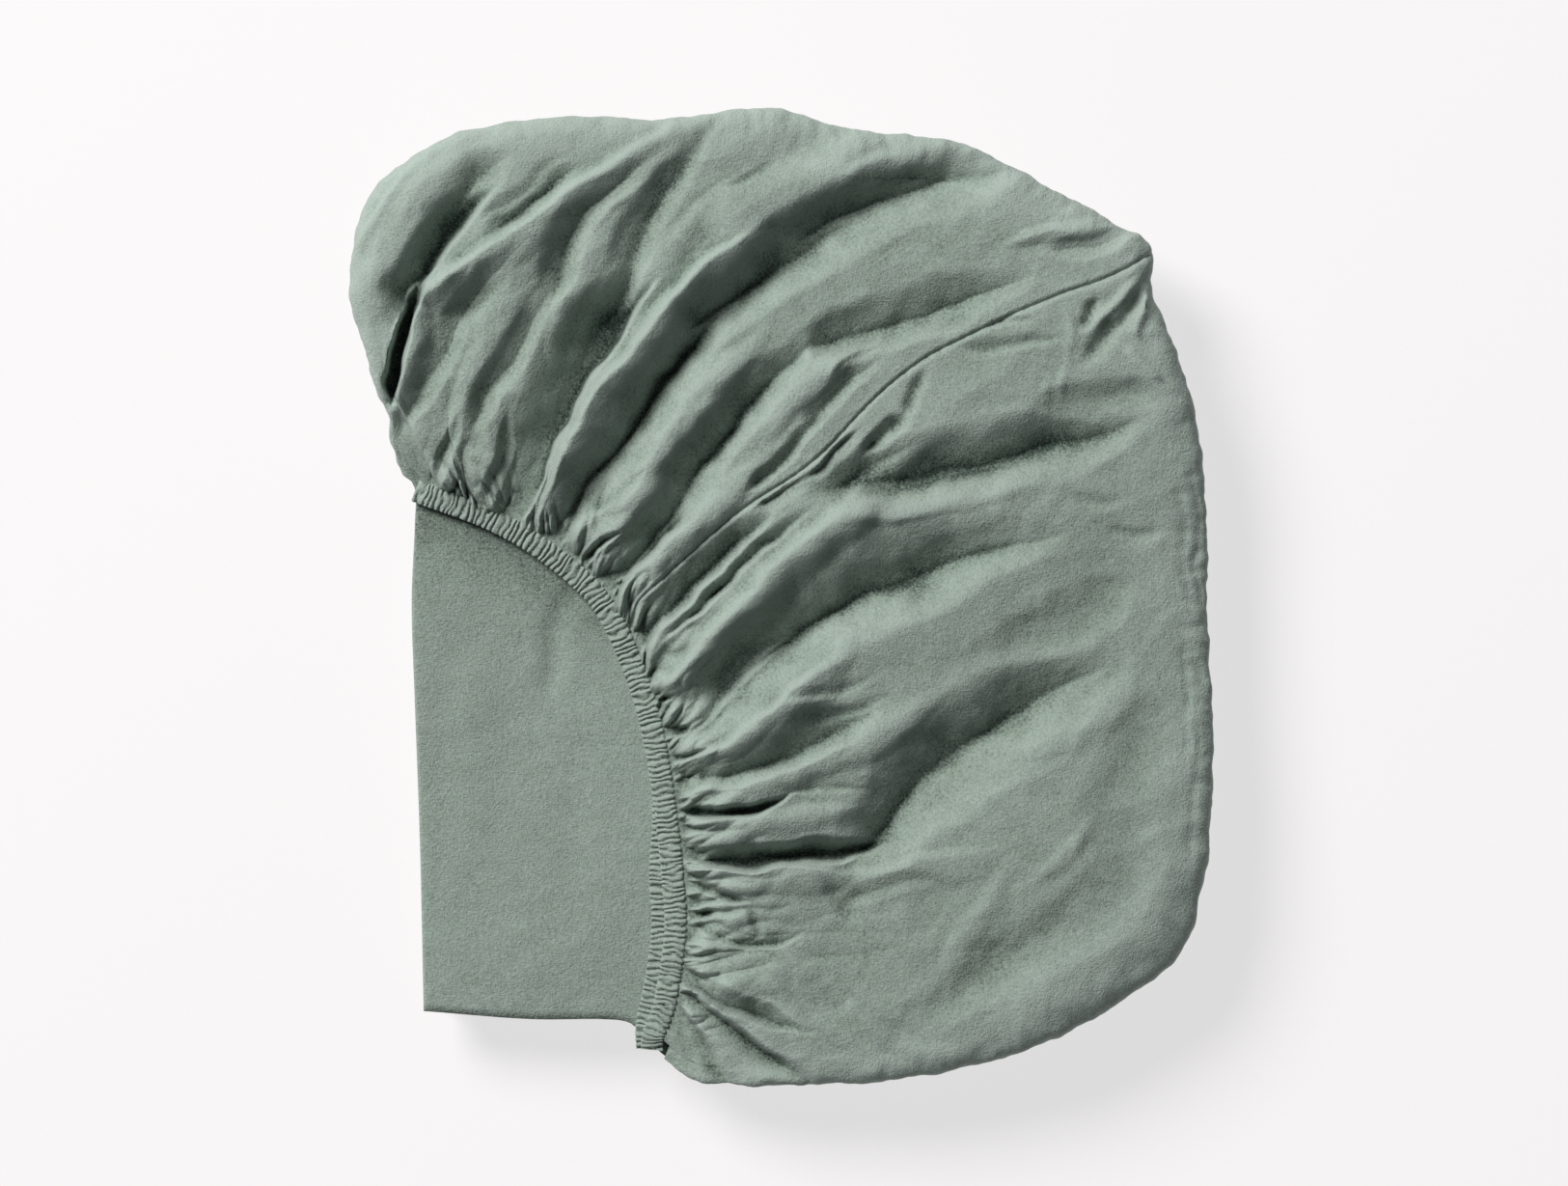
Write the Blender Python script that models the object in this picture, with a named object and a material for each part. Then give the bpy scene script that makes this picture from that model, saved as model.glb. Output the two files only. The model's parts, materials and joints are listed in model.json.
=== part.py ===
"""A fitted bed sheet of washed linen, folded to a flat bundle with one corner pocket puffed on top.

The bundle lies on its underside at z = 0. +X is to the right and +Y to the back, seen from above.
The layers are one back-and-forth sheet. The pocket is a second stretch of the same cloth: it
starts at the gathered hem, rises over the dome, rolls round the bundle's edge and ends as a lip
that is fused to the top layer.
"""

import math

import bmesh
import bpy
import numpy as np

# Driving dimensions, in metres
LAYER_COUNT = 14
LAYER_THICKNESS = 0.0013
LAYER_PITCH = 0.0021
POCKET_THICKNESS = 0.0018
POCKET_RISE = 0.021
RISING_REACH = 0.06
FOLD_START = 0.02
HEM_CASING_WIDTH = 0.014
HEM_CLEARANCE = 0.0009
HEM_HEIGHT = 0.0030
CASING_HEIGHT = 0.0046
BILLOW_LENGTH = 0.030
EDGE_LIFT = 0.0024
EDGE_UNDER_RADIUS = 0.0026
LIP_LENGTH = 0.012
LIP_LIFT = -0.0009
LEAST_FOLD_HEIGHT = 0.0048
UNEVENNESS = 0.0008
UNEVEN_ACROSS = 0.047
UNEVEN_ALONG = 0.061
UNEVEN_SLANTED = 0.029
SWELL_X = -0.045
SWELL_ACROSS = 0.041
SWELL_ALONG = 0.053
LEFT_LIMIT = -0.1500
RIGHT_LIMIT = 0.1740
FRONT_LIMIT = -0.1740
BACK_LIMIT = 0.1800
SECOND_HEM_THICKNESS = 0.0012
SECOND_HEM_REACH = 0.0046
SECOND_HEM_WIDTH = 0.0110

# Shares of a length, a height or a step
RISE_VARIATION = 0.16
RISING_SHARE = 0.06
SLANTED_SHARE = 0.6
LOWER_INSET = 0.97
EDGE_JITTER = 0.25
EDGE_WINDOW = 0.03
CASING_SHARE = 0.22
LIP_SHARE = 0.2
FADE_SHARE = 0.25
HEM_FULLNESS = 0.35
FOLD_DEPTH = 1.35
SOFTEN_ACROSS = 0.5
SOFTEN_ALONG = 0.4
SECOND_HEM_START = 0.62
JITTER_TURN = 2.1

# Resolution of the surfaces
SPAN_SAMPLES = 10
STACK_STATIONS = 9
STACK_RUNS = 6
CREASE_STEPS = 3
RIB_COUNT = 84
FIRST_DOME_ROW = 3
DOME_ROWS = 9
ROLL_ANGLES = (math.pi / 6, math.pi / 3, math.pi / 2)
UNDER_ANGLES = (math.pi / 4, math.pi / 2)
FOLD_SAMPLES = 24
FLARE_PAIRS = 3
SECOND_HEM_SAMPLES = 14
SECOND_HEM_GROWTH = 4

MM = 0.001
LINEN_GREEN = (0.196, 0.254, 0.212, 1.0)
LINEN_ROUGHNESS = 0.9

# Plan of the bundle's outline in millimetres, clockwise from the front left corner of the stack.
# The pocket's edge is the stretch from pocket_start to pocket_end.
OUTLINE = (
    # x, y, corner
    (-147.8, -172.4, "front_left"),
    (-149.4, -103, ""),
    (-151.4, -46, ""),
    (-152.8, -3, ""),
    (-151.5, 30, ""),
    (-152.5, 43, "pocket_start"),
    (-156.5, 56, ""),
    (-162, 74, ""),
    (-170, 90, ""),
    (-177.8, 119, ""),
    (-178, 146, ""),
    (-171, 165, "back_left"),
    (-158, 179, ""),
    (-139, 188.5, ""),
    (-118, 195, ""),
    (-84, 199.6, ""),
    (-47, 198.4, ""),
    (-5, 203, ""),
    (32, 194, ""),
    (73, 189, ""),
    (107, 171, ""),
    (140, 154, ""),
    (153.6, 142, "tip"),
    (155.5, 124, ""),
    (164, 102, ""),
    (173, 76, ""),
    (176, 32, ""),
    (176.8, -12, ""),
    (179.2, -58, ""),
    (177.5, -106, ""),
    (171, -140, ""),
    (152, -160, "front_right"),
    (105, -184, ""),
    (56, -197, ""),
    (16, -203, ""),
    (-33, -201.5, ""),
    (-48.5, -191, "pocket_end"),
    (-57.5, -182, ""),
    (-68, -176, ""),
    (-105, -175.6, ""),
)

# Plan of the front hem's open edge in millimetres, from the back left to the front.
HEM_LINE = (
    # x, y
    (-147, 38),
    (-123, 29),
    (-102, 17),
    (-81, -1),
    (-69, -22),
    (-59, -51),
    (-53, -85),
    (-49.5, -117),
    (-48.5, -138),
    (-52.5, -166),
    (-57.5, -180),
)

# How the cloth fans out from the hem to the bundle's edge. Each row is one rib: its share of the
# hem's length, its share of the edge's length, the point in millimetres it passes half way, and
# how far inside the edge the cloth starts to roll over.
FAN = (
    # hem share, edge share, middle x, middle y, roll
    (0.00, 0.000, -148.2, 40.4, 4),
    (0.03, 0.018, -145, 49, 5),
    (0.06, 0.075, -146, 68, 8),
    (0.11, 0.240, -131, 118, 17),
    (0.17, 0.330, -88, 130, 20),
    (0.23, 0.405, -33, 122, 15),
    (0.30, 0.440, -2, 100, 13),
    (0.38, 0.470, 25, 70, 12),
    (0.50, 0.545, 45, 32, 16),
    (0.60, 0.600, 52, -12, 20),
    (0.70, 0.645, 56, -66, 17),
    (0.78, 0.715, 60, -112, 19),
    (0.87, 0.790, 45, -143, 22),
    (0.95, 0.900, -15, -173, 15),
    (1.00, 1.000, -52, -181.5, 6),
)

# Main folds of the pocket in millimetres. Each runs through three points of the plan. The reach is
# how far it spreads to the left and to the right of its line, looking from start to end.
FOLDS = (
    # name, start x, y, middle x, y, end x, y, left reach, right reach, height
    ("lobe gap", -128, 162, -153, 135, -160, 86, 9, 9, -9.0),
    ("lobe crown", -150, 178, -170, 150, -170, 104, 8, 9, 3.0),
    ("back left hollow", -124, 178, -132, 168, -140, 158, 14, 14, -5.0),
    ("back left ridge", -46, 197, -97, 166, -146, 84, 15, 9, 7.0),
    ("back left valley", -72, 172, -97, 132, -121, 82, 11, 12, -7.0),
    ("side panel", -54, 185, -70, 158, -90, 112, 9, 9, 4.0),
    ("side panel valley", -43, 187, -51, 157, -72, 105, 9, 8, -5.0),
    ("high ridge", 72, 181, -28, 134, -101, 40, 14, 14, 11.0),
    ("high ridge valley", 92, 174, -4, 134, -84, 34, 15, 12, -12.0),
    ("upper panel", 56, 150, -32, 100, -76, 26, 12, 12, 5.0),
    ("upper panel valley", 15, 98, -24, 70, -66, 12, 9, 9, -9.0),
    ("above seam valley", 89, 130, 43, 111, -4, 62, 9, 9, -6.0),
    ("seam rise", 146, 136, 21, 64, -66, -7, 9, 8, 2.5),
    ("below seam valley", 52, 74, -22, 22, -60, -17, 7, 9, -7.0),
    ("long ridge", 84, 94, 16, 35, -46, -25, 13, 9, 11.0),
    ("right valley", 142, 71, 80, 51, 24, 42, 9, 11, -12.0),
    ("middle valley", 84, 28, 12, -5, -30, -44, 11, 12, -13.0),
    ("middle ridge", 80, 10, 12, -24, -41, -62, 14, 8, 7.0),
    ("short valley", 10, -54, -10, -66, -31, -76, 7, 7, -5.0),
    ("wide panel", 116, -10, 26, -58, -36, -84, 18, 16, 6.0),
    ("slit", 3, -84, -17, -88, -35, -89, 6, 6, -5.0),
    ("lower valley", 126, -31, 50, -90, -28, -106, 10, 9, -14.0),
    ("lower ridge", 118, -78, 32, -112, -34, -111, 15, 6, 7.0),
    ("lower crease", 84, -108, 12, -139, -34, -134, 8, 7, -4.0),
    ("front crease", 12, -175, -14, -167, -37, -157, 6, 6, -5.0),
    ("front pleat", 10, -198, -12, -182, -38, -163, 6, 6, -5.0),
    ("tip wedge", 150, 131, 141, 116, 129, 98, 6, 6, -5.0),
)


def smooth_line(points, samples):
    """Curve through all points, with the given number of steps between two of them."""
    points = np.asarray(points, float)
    padded = np.vstack([2 * points[0] - points[1], points, 2 * points[-1] - points[-2]])
    t = np.linspace(0.0, 1.0, samples, endpoint=False)[:, None]
    spans = []
    for p0, p1, p2, p3 in zip(padded, padded[1:], padded[2:], padded[3:]):
        slope_in = (p2 - p0) / 2
        slope_out = (p3 - p1) / 2
        rise = p2 - p1
        cubic = slope_in + slope_out - 2 * rise
        square = 3 * rise - 2 * slope_in - slope_out
        spans.append(p1 + slope_in * t + square * t**2 + cubic * t**3)
    return np.vstack(spans + [points[-1:]])


def at_shares(line, shares):
    """Points of a line at the given shares of its length."""
    steps = np.linalg.norm(np.diff(line, axis=0), axis=1)
    length = np.concatenate([[0.0], np.cumsum(steps)])
    wanted = np.asarray(shares) * length[-1]
    return np.stack([np.interp(wanted, length, line[:, i]) for i in range(line.shape[1])], axis=1)


def smoothstep(value):
    value = np.clip(value, 0.0, 1.0)
    return value * value * (3 - 2 * value)


def outline_points():
    return np.array([(x, y) for x, y, _ in OUTLINE]) * MM


def corner_index(name):
    return [corner for _, _, corner in OUTLINE].index(name) * SPAN_SAMPLES


def closed_outline():
    points = outline_points()
    return smooth_line(np.vstack([points, points[:1]]), SPAN_SAMPLES)


def lower_outline(outline):
    """Outline of the layers below, which stay inside the top one."""
    inner = outline.copy()
    inner[:, 0] = np.clip(inner[:, 0], LEFT_LIMIT, RIGHT_LIMIT)
    inner[:, 1] = np.clip(inner[:, 1], FRONT_LIMIT, BACK_LIMIT)
    return inner * LOWER_INSET


def layer_heights(x, y, layer):
    """Height of the middle of a layer. The lowest layer is flat and the top one is uneven."""
    share = layer / (LAYER_COUNT - 1)
    wave = np.sin(x / UNEVEN_ACROSS) * np.cos(y / UNEVEN_ALONG)
    wave = wave + SLANTED_SHARE * np.sin((x - y) / UNEVEN_SLANTED)
    return LAYER_THICKNESS / 2 + LAYER_PITCH * layer + UNEVENNESS * share**2 * wave


def top_surface(x, y):
    """Height of the upper side of the top layer."""
    return layer_heights(x, y, LAYER_COUNT - 1) + LAYER_THICKNESS / 2


def layer_plan(layer, across, along):
    """Plan points of one layer. Its four edges follow the outline, more so the higher it lies.

    Two layers that a crease joins have the same edge on that side.
    """
    top = closed_outline()
    inset = EDGE_UNDER_RADIUS + LAYER_THICKNESS
    top = top * (1 - inset / np.abs(top).max())
    lower = lower_outline(top)
    left_pair = layer // 2
    right_pair = (layer + 1) // 2
    left_share = edge_flare(left_pair, (LAYER_COUNT - 1) // 2)
    right_share = edge_flare(right_pair, LAYER_COUNT // 2)
    side_share = (1 - across) * left_share + across * right_share
    front_left = corner_index("front_left")
    back_left = corner_index("back_left")
    tip = corner_index("tip")
    front_right = corner_index("front_right")
    left = between(lower, top, slice(front_left, back_left + 1), along, left_share)
    back = between(lower, top, slice(back_left, tip + 1), across, side_share[:, None])
    right = between(lower, top, slice(tip, front_right + 1), 1 - along, right_share)
    front = between(lower, top, slice(front_right, None), 1 - across, side_share[:, None])
    u = across[:, None, None]
    v = along[None, :, None]
    sides = (1 - u) * left[None] + u * right[None]
    ends = (1 - v) * front[:, None] + v * back[:, None]
    corners = (1 - u) * (1 - v) * left[0] + (1 - u) * v * left[-1]
    corners = corners + u * (1 - v) * right[0] + u * v * right[-1]
    return sides + ends - corners


def edge_flare(pair, top_pair):
    """How far a crease reaches from the lower layers' outline to the top one's."""
    share = smoothstep((pair - top_pair + FLARE_PAIRS) / FLARE_PAIRS)
    return float(share) + (1 - float(share)) * EDGE_JITTER * math.sin(JITTER_TURN * pair)


def between(lower, top, stretch, shares, flare):
    """Points along one stretch of the outline, between the lower layers' line and the top one's."""
    low = at_shares(lower[stretch], shares)
    high = at_shares(top[stretch], shares)
    return low + flare * (high - low)


def crease(start, end, side):
    """Round turn from one layer's edge to the next one's, bulging to the given side."""
    turns = []
    for step in range(1, CREASE_STEPS + 1):
        angle = math.pi * step / (CREASE_STEPS + 1)
        share = (1 - math.cos(angle)) / 2
        point = (1 - share) * start + share * end
        point[:, 0] += side * LAYER_PITCH / 2 * math.sin(angle)
        turns.append(point)
    return turns


def stack_grid():
    """One back-and-forth sheet: rows run along its length, from the lowest layer to the top one."""
    along = np.linspace(0.0, 1.0, STACK_STATIONS)
    across = np.linspace(0.0, 1.0, STACK_RUNS + 1)
    rows = []
    for layer in range(LAYER_COUNT):
        plan = layer_plan(layer, across, along)
        height = layer_heights(plan[..., 0], plan[..., 1], layer)
        sheet = np.concatenate([plan, height[..., None]], axis=2)
        goes_left = (LAYER_COUNT - 1 - layer) % 2 == 1
        if goes_left:
            sheet = sheet[::-1]
        if rows:
            side = 1 if goes_left else -1
            rows.extend(crease(rows[-1], sheet[0], side))
        rows.extend(list(sheet))
    return np.array(rows)


def curve_through(start, middle, end, shares):
    """Quadratic curve that passes the middle point half way."""
    control = 2 * middle - (start + end) / 2
    t = shares[..., None]
    return (1 - t) ** 2 * start + 2 * t * (1 - t) * control + t**2 * end


def fold_relief(points):
    """Sum of all folds at the plan points, each a soft ridge or valley that fades at its ends."""
    flat = points.reshape(-1, 2)
    relief = np.zeros(len(flat))
    shares = np.linspace(0.0, 1.0, FOLD_SAMPLES)
    for _, x0, y0, x1, y1, x2, y2, left, right, height in FOLDS:
        ends = np.array([(x0, y0), (x1, y1), (x2, y2)], float) * MM
        line = curve_through(ends[0], ends[1], ends[2], shares)
        step = np.diff(line, axis=0)
        length = np.linalg.norm(step, axis=1)
        offset = flat[:, None] - line[None, :-1]
        run = np.clip((offset * step).sum(axis=2) / length**2, 0.0, 1.0)
        away = offset - run[..., None] * step
        distance = np.linalg.norm(away, axis=2)
        nearest = distance.argmin(axis=1)
        index = np.arange(len(flat))
        gap = distance[index, nearest]
        side = step[nearest, 0] * away[index, nearest, 1] - step[nearest, 1] * away[index, nearest, 0]
        reach = np.where(side > 0, left, right) * MM
        place = (nearest + run[index, nearest]) / (FOLD_SAMPLES - 1)
        fade = smoothstep(place / FADE_SHARE) * smoothstep((1 - place) / FADE_SHARE + HEM_FULLNESS)
        shape = np.where(gap < reach, 0.5 + 0.5 * np.cos(math.pi * np.minimum(gap / reach, 1.0)), 0.0)
        relief += FOLD_DEPTH * height * MM * shape * fade
    return relief.reshape(points.shape[:-1])


def rib_rows(path_length, casing, roll, lip):
    """Rows of one rib: how far each lies along its path or inside the bundle's edge, and its kind."""
    rows = [("hem", 0.0, 0.0), ("casing", casing / 2, 0.0), ("casing", casing, 0.0)]
    for row in range(1, DOME_ROWS + 1):
        rows.append(("dome", casing + (path_length - casing) * row / DOME_ROWS, 0.0))
    for angle in ROLL_ANGLES:
        rows.append(("roll", roll * (1 - math.sin(angle)), angle))
    for angle in UNDER_ANGLES:
        rows.append(("under", EDGE_UNDER_RADIUS * (1 - math.cos(angle)), angle))
    rows.append(("lip", EDGE_UNDER_RADIUS + lip, 0.0))
    return rows


def end_share(rib_share, reach):
    """How far the pocket has risen at a rib: nothing at its two ends, all of it a little inside."""
    ends = min(rib_share, 1 - rib_share) / RISING_SHARE
    return math.sqrt(max(0.0, 1 - (1 - min(1.0, ends)) ** 2)) * min(1.0, reach / RISING_REACH)


def inward(line, share):
    """Unit direction across a clockwise line, towards the middle of the bundle."""
    before, after = at_shares(line, [max(0.0, share - EDGE_WINDOW), min(1.0, share + EDGE_WINDOW)])
    along = (after - before) / np.linalg.norm(after - before)
    return np.array([along[1], -along[0]])


def pocket_grid():
    """Pocket surface: one column for each rib, rows from the hem over the dome to the lip."""
    edge = closed_outline()[corner_index("pocket_start") : corner_index("pocket_end") + 1]
    hem = smooth_line(np.array(HEM_LINE) * MM, SPAN_SAMPLES)
    fan = at_shares(smooth_line(np.array(FAN), SPAN_SAMPLES), np.linspace(0.0, 1.0, RIB_COUNT))
    columns = []
    for rib, (hem_share, edge_share, middle_x, middle_y, roll_mm) in enumerate(fan):
        start = at_shares(hem, [hem_share])[0]
        end = at_shares(edge, [edge_share])[0]
        reach = np.linalg.norm(end - start)
        roll = roll_mm * MM
        across = inward(edge, edge_share)
        middle = np.array([middle_x, middle_y]) * MM
        path = curve_through(start, middle, end + roll * across, np.linspace(0.0, 1.0, FOLD_SAMPLES))
        length = np.linalg.norm(np.diff(path, axis=0), axis=1).sum()
        casing = min(HEM_CASING_WIDTH, CASING_SHARE * length)
        rows = rib_rows(length, casing, roll, min(LIP_LENGTH, LIP_SHARE * reach))
        plan = []
        for kind, distance, _ in rows:
            on_path = kind in ("hem", "casing", "dome")
            plan.append(at_shares(path, [distance / length])[0] if on_path else end + distance * across)
        risen = end_share(rib / (RIB_COUNT - 1), reach)
        columns.append(rib_heights(np.array(plan), rows, casing, risen))
    return softened(np.array(columns))


def softened(grid):
    """Evens out the steps in height between neighbouring ribs, and along each rib's dome."""
    height = grid[..., 2].copy()
    ribs_beside = (height[:-2] + height[2:]) / 2
    height[1:-1] += SOFTEN_ACROSS * (ribs_beside - height[1:-1])
    dome = slice(FIRST_DOME_ROW + 1, FIRST_DOME_ROW + DOME_ROWS)
    before = slice(dome.start - 1, dome.stop - 1)
    after = slice(dome.start + 1, dome.stop + 1)
    rows_beside = (height[:, before] + height[:, after]) / 2
    height[:, dome] += SOFTEN_ALONG * (rows_beside - height[:, dome])
    grid[..., 2] = height
    return grid


def rib_heights(plan, rows, casing, risen):
    """Adds the heights to the plan points of one rib."""
    x, y = plan[:, 0], plan[:, 1]
    base = top_surface(x, y)
    relief = fold_relief(plan)
    swell = 1 + RISE_VARIATION * np.sin((x - SWELL_X) / SWELL_ACROSS) * np.cos(y / SWELL_ALONG)
    side_height = LIP_LIFT + EDGE_UNDER_RADIUS + EDGE_LIFT * risen
    heights = []
    crown_height = 0.0
    for row, (kind, distance, angle) in enumerate(rows):
        if kind == "hem":
            height = HEM_CLEARANCE + POCKET_THICKNESS
        elif kind == "casing":
            height = HEM_HEIGHT + (CASING_HEIGHT - HEM_HEIGHT) * risen * (distance < casing)
        elif kind == "dome":
            billow = 1 - math.exp(-(distance - casing) / BILLOW_LENGTH)
            full = HEM_HEIGHT + (POCKET_RISE * swell[row] - HEM_HEIGHT) * billow * risen
            held = smoothstep((distance - casing) / FOLD_START)
            height = max(LEAST_FOLD_HEIGHT, full + relief[row] * held * risen)
            crown_height = height
        elif kind == "roll":
            height = side_height + (crown_height - side_height) * math.cos(angle)
        elif kind == "under":
            height = LIP_LIFT + (side_height - LIP_LIFT) * (1 - math.sin(angle))
        else:
            height = LIP_LIFT
        heights.append(base[row] + height)
    return np.column_stack([plan, heights])


def second_hem_grid():
    """Strip of the hem's second fold, which reaches a little past the front hem's edge."""
    hem = smooth_line(np.array(HEM_LINE) * MM, SPAN_SAMPLES)
    shares = np.linspace(SECOND_HEM_START, 1.0, SECOND_HEM_SAMPLES)
    line = at_shares(hem, shares)
    step = np.gradient(line, axis=0)
    outward = np.column_stack([step[:, 1], -step[:, 0]])
    outward /= np.linalg.norm(outward, axis=1)[:, None]
    columns = []
    for index, point in enumerate(line):
        reach = SECOND_HEM_REACH * float(smoothstep(index / SECOND_HEM_GROWTH))
        row = []
        for offset in (reach, reach - SECOND_HEM_WIDTH / 2, reach - SECOND_HEM_WIDTH):
            x, y = point + offset * outward[index]
            height = top_surface(x, y) + HEM_CLEARANCE / 2 + SECOND_HEM_THICKNESS
            row.append((x, y, height))
        columns.append(row)
    return np.array(columns)


def linen():
    material = bpy.data.materials.new("washed_linen")
    material.use_nodes = True
    shader = material.node_tree.nodes["Principled BSDF"]
    shader.inputs["Base Color"].default_value = LINEN_GREEN
    shader.inputs["Roughness"].default_value = LINEN_ROUGHNESS
    return material


def cloth_from_grid(name, grid, thickness, offset):
    """Sheet object whose quads join the grid's neighbours, given its thickness by Solidify."""
    shape = bmesh.new()
    verts = [[shape.verts.new(point) for point in column] for column in grid]
    for left, right in zip(verts, verts[1:]):
        for row in range(len(left) - 1):
            shape.faces.new((left[row], right[row], right[row + 1], left[row + 1]))
    mesh = bpy.data.meshes.new(name)
    shape.to_mesh(mesh)
    shape.free()
    sheet = bpy.data.objects.new(name, mesh)
    bpy.context.collection.objects.link(sheet)
    solidify = sheet.modifiers.new("cloth thickness", "SOLIDIFY")
    solidify.thickness = thickness
    solidify.offset = offset
    return sheet


def join_into(body, helper):
    """Boolean union of a helper sheet into the body."""
    helper.hide_render = True
    helper.display_type = "WIRE"
    union = body.modifiers.new("join " + helper.name, "BOOLEAN")
    union.operation = "UNION"
    union.object = helper


def fitted_sheet():
    body = cloth_from_grid("fitted_sheet", stack_grid(), LAYER_THICKNESS, 0.0)
    pocket = cloth_from_grid("corner_pocket_shape", pocket_grid(), POCKET_THICKNESS, -1.0)
    second_hem = cloth_from_grid("second_hem_shape", second_hem_grid(), SECOND_HEM_THICKNESS, -1.0)
    join_into(body, pocket)
    join_into(body, second_hem)
    body.data.materials.append(linen())
    return body


def main():
    for old in list(bpy.data.objects):
        bpy.data.objects.remove(old, do_unlink=True)
    fitted_sheet()


main()
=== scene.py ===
"""Looks of a crumpled fitted sheet of washed linen, folded to a bundle and seen from above.

Pieces: the folded layers, the corner pocket's two panels that meet at the corner seam, and the two
gathered hems. The hem's and the fan's tables are those of the part's source. The outline has more
points and the fold tables have more creases. Lengths are metres unless a heading says otherwise.
"""

import json
import math

import bpy
import numpy as np
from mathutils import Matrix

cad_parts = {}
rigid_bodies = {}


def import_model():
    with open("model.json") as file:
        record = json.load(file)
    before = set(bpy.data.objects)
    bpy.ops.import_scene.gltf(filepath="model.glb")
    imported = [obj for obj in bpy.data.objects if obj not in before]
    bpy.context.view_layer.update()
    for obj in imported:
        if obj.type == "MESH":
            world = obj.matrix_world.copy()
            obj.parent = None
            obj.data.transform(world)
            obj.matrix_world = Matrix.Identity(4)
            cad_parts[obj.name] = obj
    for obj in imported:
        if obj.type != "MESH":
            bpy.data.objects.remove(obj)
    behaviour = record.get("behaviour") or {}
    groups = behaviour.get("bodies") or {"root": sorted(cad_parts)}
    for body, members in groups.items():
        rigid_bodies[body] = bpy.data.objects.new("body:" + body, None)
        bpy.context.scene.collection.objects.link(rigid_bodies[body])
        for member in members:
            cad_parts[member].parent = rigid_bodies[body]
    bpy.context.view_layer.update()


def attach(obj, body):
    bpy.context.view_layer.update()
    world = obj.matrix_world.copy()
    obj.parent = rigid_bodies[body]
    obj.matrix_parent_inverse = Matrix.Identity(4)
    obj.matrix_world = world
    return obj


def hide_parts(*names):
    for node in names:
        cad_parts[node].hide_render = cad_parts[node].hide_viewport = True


MM = 0.001

# The photograph's frame: pixels of its two sides, and metres of the bundle that one pixel covers
PICTURE = (1625, 1229)
PIXEL = 0.0004
PLAN_CENTRE = (809.5, 620.0)
PICTURE_CENTRE = (812.5, 614.5)

# Folded layers
LAYER_COUNT = 14
LAYER_THICKNESS = 0.0013
LAYER_PITCH = 0.0021
OPEN_LAYERS_REACH = -0.0010
CLOTH_THICKNESS = 0.0009
UNEVENNESS = 0.0008
UNEVEN_ACROSS = 0.047
UNEVEN_ALONG = 0.061
UNEVEN_SLANTED = 0.029
SLANTED_SHARE = 0.6
LOWER_INSET = 0.97
EDGE_JITTER = 0.25
JITTER_TURN = 2.1
FLARE_PAIRS = 3
LEFT_LIMIT = -0.1500
RIGHT_LIMIT = 0.1740
FRONT_LIMIT = -0.1740
BACK_LIMIT = 0.1800
LAYER_WAVE_CELL = 0.035
LAYER_WAVE_HEIGHT = 0.25 * MM
LAYER_WAVE_SEED = 60
CALM_LAYERS = 3
TOP_CRUMPLE_SHARE = 0.45

# Corner pocket: its smooth form, its edges and its seam
POCKET_RISE = 0.021
RISE_VARIATION = 0.16
RISING_SHARE = 0.06
RISING_REACH = 0.06
FOLD_START = 0.004
HEM_CASING_WIDTH = 0.0091
CASING_SHARE = 0.22
HEM_CLEARANCE = 0.0009
HEM_HEIGHT = 0.0030
CASING_HEIGHT = 0.0046
BILLOW_LENGTH = 0.012
EDGE_WINDOW = 0.03
EDGE_LIFT = 0.0024
EDGE_UNDER_RADIUS = 0.0026
LIP_LENGTH = 0.006
LIP_LIFT = -0.0006
LEAST_HEIGHT = 0.0047
ROLL_SQUARENESS = 0.4
SWELL_X = -0.045
SWELL_ACROSS = 0.041
SWELL_ALONG = 0.053
TUCKED_SHARE = 0.8
ROW_CROWDING = 1.3
RISEN_FLOOR = 0.01
LEAST_HEIGHT_REACH = 0.03
HEM_SOFTNESS = 0.0004
ADDED_SOFTNESS = 0.0026
SEAM_SHARE = 0.449
SEAM_PULL_SHARE = 0.05
SEAM_PULL_ROUNDS = 8
SEAM_PULL_IN = 8
SEAM_PULL_OUT = 6
SEAM_DEPTH = 1.5 * MM
SEAM_WIDTH = 0.0008
PUCKER_HEIGHT = 0.28 * MM
PUCKER_LENGTH = 0.0009
PUCKER_CELL = 0.01
PUCKER_DRIFT = 2
PUCKER_REACH = 0.0035
PUCKER_SEED = 51

# Gathered hems: number and size of the pleats, and what their casing does across and at its ends
GATHER_COUNT = 108
GATHER_SAMPLES = 10
GATHER_HEIGHT = 0.0018
GATHERED_LENGTH = 0.256
CASING_SIDES = 24
CASING_BLUNTNESS = 0.45
CASING_RISE = 0.0012
UNDERSIDE_SHARE = 0.6
END_FADE = 40
END_HEIGHT = 0.55
PLEAT_BLUNTNESS = 0.55
PLEAT_LEVEL = 0.6
PLEAT_SIZE = 0.75
PLEAT_VARIATION = 0.45
PLEAT_INSET = 0.45 * MM
HEM_SEED = 71
SECOND_HEM_START = 0.60
SECOND_HEM_REACH = 0.0054
SECOND_HEM_WIDTH = 0.0110
SECOND_HEM_BOTTOM = 0.0002
SECOND_HEM_TOP = 0.0026
SECOND_HEM_POINTS = 60
SECOND_HEM_GROWTH = 2.5
SECOND_HEM_END_FADE = 6
SECOND_HEM_END_REACH = 0.35
SECOND_HEM_SEED = 75

# Resolution of the surfaces
SPAN_SAMPLES = 10
STATIONS = 96
TOP_RUNS = 110
LOWER_RUNS = 16
CREASE_STEPS = 7
PANEL_RIBS = 430
DOME_ROWS = 170
ROLL_ROWS = 16
UNDER_ROWS = 5
PATH_SAMPLES = 40
FOLD_SAMPLES = 24
LATTICE = 256
POINTS_AT_ONCE = 20000

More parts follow.
